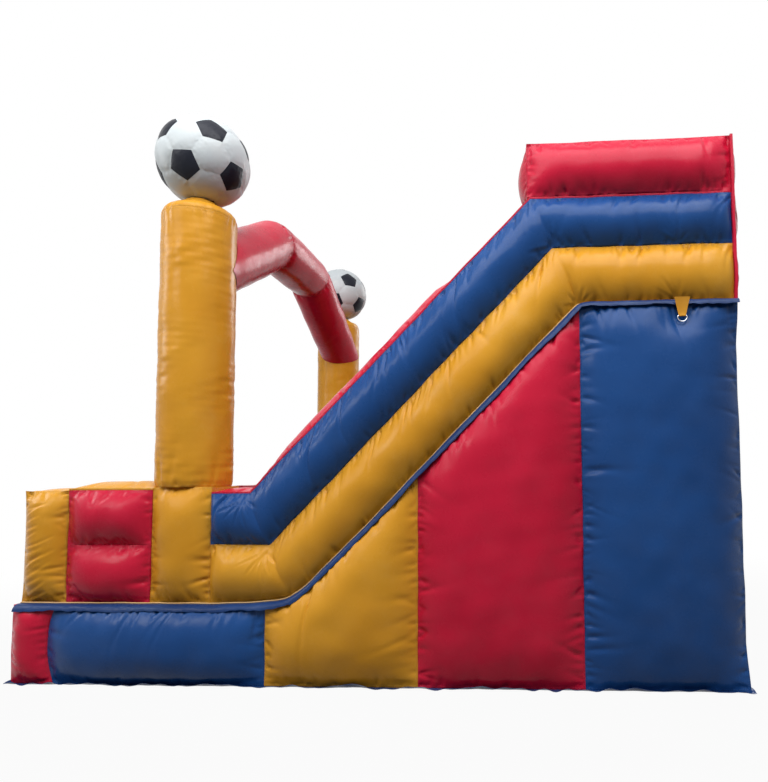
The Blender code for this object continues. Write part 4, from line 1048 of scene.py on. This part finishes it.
def make_ground_sheet():
    """The sheet under the base, whose border turns up in waves all round."""
    low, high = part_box("ground_sheet")
    past, thick = 0.014, 0.0012
    edge = np.array([0, 0.006, 0.018, 0.035, 0.06, 0.12])

    def rows(start, end):
        inset = edge[-1]
        middle = np.linspace(start + inset, end - inset, counts(end - start - 2 * inset, 0.02))
        return np.concatenate([start + edge[:-1], middle, (end - edge[:-1])[::-1]])

    xs, ys = rows(low.x - past, high.x + past), rows(low.y - past, high.y + past)
    x, y = np.meshgrid(xs, ys, indexing="ij")
    away = np.minimum(np.minimum(x - xs[0], xs[-1] - x), np.minimum(y - ys[0], ys[-1] - y))
    border = np.clip(1 - away / 0.05, 0, 1) ** 1.5
    plan = grid_of(x, y, 0)
    waves = wobble(plan, 0.28, 610) + 0.7 * wobble(plan, 0.08, 612)
    z = np.maximum(thick + border * (0.020 + 0.007 * waves), thick)
    add_sheet("ground_sheet_cloth", grid_of(x, y, z), FLAP_BLUE, ["ground_sheet"],
              shake=0)


def make_web(name, start, end, seed):
    """A web between a chamber's roof and floor, with round holes that let the air through."""
    low, hole_z, hole_radius, rim_radius = FLOOR + 0.0009, 0.28, 0.105, 0.135
    xs = np.linspace(start + 0.002, end - 0.002, counts(end - start, 0.02))
    count = int((end - start) / 0.35)
    roof = roof_height(xs) - 0.0015
    share = np.linspace(0, 1, counts(float(roof.mean()), 0.02))
    x = np.repeat(xs[:, None], len(share), 1)
    z = low + (roof[:, None] - low) * share[None]
    open_at = np.zeros(x.shape, bool)
    for number in range(count):
        hole = start + (end - start) * (number + 0.5) / count
        away = np.hypot(x - hole, z - hole_z)
        open_at |= away < hole_radius
        rim = (away >= hole_radius) & (away < rim_radius)
        scale = np.where(rim, 0.12 / np.maximum(away, 1e-6), 1)
        x, z = hole + (x - hole) * scale, hole_z + (z - hole_z) * scale
    points = grid_of(x, 0.004 * wobble(grid_of(x, 0, z), 0.25, seed), z)
    shut = ~(open_at[:-1, :-1] | open_at[1:, :-1] | open_at[1:, 1:] | open_at[:-1, 1:])
    mesh = bpy.data.meshes.new(f"{name}_web")
    mesh.from_pydata(points.reshape(-1, 3).tolist(), [], quads(x.shape)[shut].tolist())
    bm = bmesh.new()
    bm.from_mesh(mesh)
    loose = [vert for vert in bm.verts if not vert.link_faces]
    bmesh.ops.delete(bm, geom=loose, context="VERTS")
    bm.to_mesh(mesh)
    area = sum(face.calc_area() for face in bm.faces)
    bm.free()
    made = finish_piece(f"{name}_web", mesh, [NAVY], [name])


# Anchor tabs, sleeve and zip

def make_tab(side):
    """A strap folded round the ring's bar, tapering down from the ledge flap."""
    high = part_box(f"anchor_tab_{side}")[1]
    ring_low, ring_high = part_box(f"anchor_ring_{side}")
    bar = (ring_low + ring_high) / 2
    bar.z = ring_high.z - 0.0032
    layer, bend_radius, narrow, broad = 0.00105, 0.00435, 0.046, 0.11
    levels = np.linspace(PLATFORM_HEIGHT + 0.006, bar.z + 0.012, 14)
    bend = [(bend_radius * math.cos(a), bar.z + bend_radius * math.sin(a))
            for a in np.linspace(math.pi, 2 * math.pi, 12)]
    line = [(-layer, z) for z in levels] + bend + [(layer, z) for z in levels[::-1]]
    depth, z = np.array(line).T[:, :, None]
    share = np.maximum(0.0, (z - bar.z) / (high.z - bar.z))
    half = (narrow + (broad - narrow) * np.clip(share, 0, 1)) / 2
    x = bar.x + half * np.linspace(-1, 1, 9)[None]
    y = SIDES[side] * (abs(bar.y) + 0.016 * share**2 + depth)
    add_sheet(f"anchor_tab_{side}_strap", grid_of(x, y, z), WEBBING, [f"anchor_tab_{side}"],
              shake=0)


def make_sleeve():
    """The open cloth tube for the blower's duct, with a hem at its mouth and a flange behind."""
    low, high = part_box("inflation_sleeve")
    middle = np.array([0, (low.y + high.y) / 2, (low.z + high.z) / 2])
    profile = [(0.178, 0.0012), (0.168, 0.002), (0.1605, 0.004), (0.159, 0.02)]
    profile += [(0.159, x) for x in np.linspace(0.035, 0.135, 10)]
    profile += [(0.1625, 0.139), (0.1635, 0.146), (0.1625, 0.156), (0.1595, 0.1596),
                (0.157, 0.156), (0.156, 0.13)]
    radius, reach = np.array(profile).T
    turn = np.linspace(0, 2 * math.pi, 97)
    ring = np.stack([0 * turn, np.cos(turn), np.sin(turn)], 1)
    grid = middle + ring[:, None] * radius[None, :, None]
    grid[..., 0] += REAR_X + reach[None]
    loose = np.clip(reach / 0.05, 0, 1) * np.clip((0.150 - reach) / 0.05, 0, 1)
    ripple = wobble(grid * (0.35, 1, 1), 0.06, 640) * loose[None] * 0.0028
    grid += ring[:, None] * ripple[..., None]
    grid[-1] = grid[0]
    add_sheet("inflation_sleeve_cloth", grid, BLUE_PLAIN, ["inflation_sleeve"],
              shake=0, thickness=0.0008)


def add_teeth(name, x, start, end, z):
    """A row of interlocked zip teeth."""
    bm = bmesh.new()
    count = int((end - start) / 0.003)
    for tooth in range(count):
        y = start + (end - start) * (tooth + 0.5) / count
        tilt = Matrix.Rotation(math.radians(18 if tooth % 2 else -18), 4, "X")
        place = Matrix.Translation((x, y, z)) @ tilt @ Matrix.Diagonal((0.0026, 0.0019, 0.006, 1))
        bmesh.ops.create_cube(bm, size=1.0, matrix=place)
    bmesh.ops.bevel(bm, geom=bm.edges[:], offset=0.0003, segments=1, affect="EDGES")
    mesh = bpy.data.meshes.new(name)
    bm.to_mesh(mesh)
    bm.free()
    return finish_piece(name, mesh, [NAVY], [])


def make_zip():
    """The deflation zip's tape, teeth and piping, and the flap that covers them."""
    low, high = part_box("zip_tape")
    ys = np.linspace(low.y, high.y, 61)
    y, z = np.meshgrid(ys, np.linspace(low.z, high.z, 21), indexing="ij")
    x = low.x + 0.0006 + 0.0006 * wobble(grid_of(0, y, z), 0.05, 650) ** 2 * 0.3
    teeth = add_teeth("zip_teeth", low.x + 0.0015, low.y, high.y, (low.z + high.z) / 2)
    centre = np.stack([np.full(61, low.x + 0.0062), ys, np.full(61, high.z - 0.006)], 1)
    piping = add_tube("zip_piping", centre, 0.0056, BLUE_PLAIN)
    add_sheet("zip_tape_cloth", grid_of(x, y, z), NAVY, ["zip_tape"],
              shake=0, thickness=0.0008)
    low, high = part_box("zip_flap")
    y, z = np.meshgrid(np.linspace(low.y, high.y, 61), np.linspace(high.z, low.z, 16),
                       indexing="ij")
    drop = (high.z - z) / (high.z - low.z)
    x = (low.x + high.x) / 2 + 0.0015 * drop * (1 + wobble(grid_of(0, y, 0), 0.16, 652))
    add_sheet("zip_flap_cloth", grid_of(x, y, z), BLUE_PLAIN, ["zip_flap"],
              body="flap", shake=0, thickness=0.0011)


# Floor pads, lanes and the wall between them

def floor_pad(node, points, y_range, channels, seed, finish):
    """A channelled pad laid along X and Z points, each with the direction across its thickness."""
    xs, zs, tilt = (np.array(part, float) for part in zip(*points))
    steps = np.concatenate([[0], np.cumsum(np.hypot(np.diff(xs), np.diff(zs)))])
    fine = np.linspace(0, steps[-1], counts(steps[-1], 0.03))
    x, z, t = (np.interp(fine, steps, part)[:, None] for part in (xs, zs, tilt))
    y = np.linspace(*y_range, counts(y_range[1] - y_range[0], 0.02))
    share = (y - y_range[0]) / (y_range[1] - y_range[0])
    bulge = 0 * y
    if channels:
        bulge = 0.025 * (1 - np.abs(2 * ((share * channels) % 1) - 1) ** 2.2)
    height = 0.07 + crown(fine / fine[-1], 14)[:, None] * bulge[None]
    over = grid_of(x + t * height, y[None], z + height)
    under = grid_of(x + 0 * height, y[None], z)
    panels = [panel(over, (0, 0, 1), seed, {"all": puckers(0.06, 0.10, 0.004)}), plain(under)]
    air_piece(node, finish, panels + rims(over, under, 0.3))


def make_floor():
    """The landing, both lanes and the platform, side by side and end to end."""
    foot, deck = BASE_HEIGHT + GAP, PLATFORM_HEIGHT + GAP
    low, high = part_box("landing_pad")
    floor_pad("landing_pad", [(low.x, foot, 0.0), (SLOPE_FOOT_X - 0.05, foot, 0.0),
                              (SLOPE_FOOT_X - GAP, foot, MITRE)],
              (low.y, high.y), 6, 900, BLUE)
    bed = [(SLOPE_FOOT_X + GAP, foot, MITRE), (SLOPE_TOP_X - GAP, deck, MITRE)]
    for node, channels, seed, finish in (("climb_bed", 0, 920, BLUE),
                                         ("slide_bed", 4, 940, YELLOW)):
        low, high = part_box(node)
        floor_pad(node, bed, (low.y, high.y), channels, seed, finish)
    low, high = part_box("platform_pad")
    floor_pad("platform_pad", [(SLOPE_TOP_X + GAP, deck, MITRE), (SLOPE_TOP_X + 0.05, deck, 0.0),
                               (high.x, deck, 0.0)],
              (low.y, high.y), 0, 960, BLUE)


def make_lanes():
    """The divider and the climbing steps, box-shaped chambers in the slope's own axes."""
    along = np.array([math.cos(SLOPE_ANGLE), 0, math.sin(SLOPE_ANGLE)])
    axes = np.array([along, [0, 1, 0], [-math.sin(SLOPE_ANGLE), 0, math.cos(SLOPE_ANGLE)]])
    foot = np.array([SLOPE_FOOT_X, 0, BASE_HEIGHT])

    def slope_box(node, finish, origin, low, high, swells, seed):
        panels = pillow_panels(low, high, swells, seed)
        air_piece(node, finish, [(origin + grid @ axes, near, far) for grid, near, far in panels])

    slope_box("lane_divider", RED, foot, (0.06 * SLOPE_LENGTH, LANE_SPLIT_Y - 0.13, GAP),
              (SLOPE_LENGTH, LANE_SPLIT_Y + 0.13, 0.42),
              {"right": 0.035, "left": 0.035, "top": 0.035, "front": 0.035}, 980)
    swells = {"front": 0.02, "rear": 0.02, "top": 0.04, "right": 0.04, "left": 0.04}
    for number in range(4):
        node = f"climb_step_{number + 1}"
        low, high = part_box(node)
        origin = foot + along * SLOPE_LENGTH * (number + 1) / 5
        slope_box(node, YELLOW, origin, (-0.12, low.y + 0.04, 0.0706),
                  (0.12, high.y - 0.04, 0.1706), swells, 1000 + 10 * number)


# Camera, lights and floor

def look_along(yaw, pitch, roll):
    forward = Vector((math.sin(yaw) * math.cos(pitch), math.cos(yaw) * math.cos(pitch),
                      math.sin(pitch)))
    right = Vector((math.cos(yaw), -math.sin(yaw), 0))
    up = right.cross(forward)
    across = math.cos(roll) * right + math.sin(roll) * up
    above = -math.sin(roll) * right + math.cos(roll) * up
    return Matrix((across, above, -forward)).transposed()


def link(name, data):
    made = bpy.data.objects.new(name, data)
    bpy.context.scene.collection.objects.link(made)
    return made


def make_camera():
    width, height, focal, centre_x, centre_y = 768, 782, 598.47, 493.81, 441.59
    data = bpy.data.cameras.new("camera")
    data.sensor_fit = "AUTO"
    data.sensor_width = 36
    longest = max(width, height)
    data.lens = data.sensor_width * focal / longest
    data.shift_x = (width / 2 - centre_x) / longest
    data.shift_y = (centre_y - height / 2) / longest
    data.clip_end = 100
    camera = link("camera", data)
    place = Matrix.Translation((1.0246, -6.0338, 1.4016))
    camera.matrix_world = place @ look_along(-0.0588, 0.0615, -0.0090).to_4x4()
    bpy.context.scene.camera = camera


def add_light(name, place, target, size, power, colour=(1, 1, 1)):
    data = bpy.data.lights.new(name, "AREA")
    data.shape = "RECTANGLE"
    data.size, data.size_y = size
    data.energy = power
    data.color = colour
    light = link(name, data)
    light.location = place
    light.rotation_mode = "QUATERNION"
    light.rotation_quaternion = (Vector(target) - Vector(place)).to_track_quat("-Z", "Y")


def floor_material():
    """A white floor that keeps the object's soft shadow and fades to plain white further off."""
    made = bpy.data.materials.new("floor")
    n = Nodes(made)
    mottle = n.ramp(n.noise(3.0, 4), 0.3, 0.7)
    grey = n.mix(mottle, (0.11, 0.11, 0.11, 1), (0.09, 0.09, 0.09, 1))
    n.finish({"Base Color": grey, "Roughness": 0.9})
    glow = n.add("Emission", {"Strength": 1.0})
    distance = n.add("VectorMath", {0: n.place()}, "Value", operation="LENGTH")
    share = n.math("MULTIPLY", n.seen(), n.ramp(distance, 3.0, 7.5, 0.95, 1.0))
    mixed = n.add("MixShader", {0: share, 1: n.shader.outputs[0], 2: glow})
    n.put(n.tree.nodes["Material Output"].inputs["Surface"], mixed)
    return made


def make_stage():
    size = 40.0
    corners = [(x * size, y * size, -0.001) for x, y in ((-1, -1), (1, -1), (1, 1), (-1, 1))]
    mesh = bpy.data.meshes.new("floor")
    mesh.from_pydata(corners, [], [(0, 1, 2, 3)])
    mesh.materials.append(floor_material())
    link("floor", mesh)


def make_world():
    """Soft light that is stronger overhead, and plain white where the floor ends."""
    world = bpy.data.worlds.new("world")
    bpy.context.scene.world = world
    n = Nodes(world, "Background")
    sky = n.ramp(n.split(n.place("Generated"))[2], -0.1, 0.9, 0.02, 0.50, smooth=False)
    n.finish({"Color": (1, 1, 1, 1), "Strength": n.ramp(n.seen(), 0.0, 1.0, sky, smooth=False)})


def make_slide():
    make_base()
    for side in SIDES:
        make_wall(side)
    for number, side in enumerate(SIDES):
        make_boxes(side, 300 + 100 * number)
    pillow("back_wall", RED, {"front": 0.05, "top": 0.01}, 520, folds=BOX_PUCKERS)
    make_back_panel()
    for number, side in enumerate(SIDES):
        make_front_cap(side, 600 + 40 * number)
    for number, side in enumerate(SIDES):
        make_column(side, 700 + 20 * number)
    for side in SIDES:
        make_football(side)
    make_arch()
    for side in SIDES:
        make_ledge(side)
    make_ground_sheet()
    make_web("landing_baffle", STEP_SEAM_X, LANDING_END_X, 630)
    make_web("slope_baffle_low", LANDING_END_X, SLOPE_SEAM_X, 632)
    make_web("slope_baffle_high", SLOPE_SEAM_X, SLOPE_TOP_X, 634)
    make_web("tower_baffle", SLOPE_TOP_X, REAR_X, 636)
    for side in SIDES:
        make_tab(side)
    make_sleeve()
    make_zip()
    for metal in ("anchor_ring_right", "anchor_ring_left", "zip_slider"):
        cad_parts[metal].data.materials[0] = STEEL
    make_floor()
    make_lanes()


make_slide()
make_camera()
add_light("key_light", (-6.0, -7.5, 6.5), (-0.5, -1.8, 2.2), (3.0, 3.0), 205, (1, 0.99, 0.97))
add_light("top_light", (0.8, -4.8, 7.3), (0.6, -1.5, 2.0), (8, 4.5), 640, (0.97, 0.98, 1))
add_light("side_light", (-7.0, -2.6, 4.6), (-1.2, -1.0, 2.9), (2.0, 3), 110)
add_light("back_light", (3.5, 8.0, 6.5), (0.3, 1.0, 1.8), (4, 4), 260)
make_stage()
make_world()
bpy.context.scene.view_settings.view_transform = "Standard"
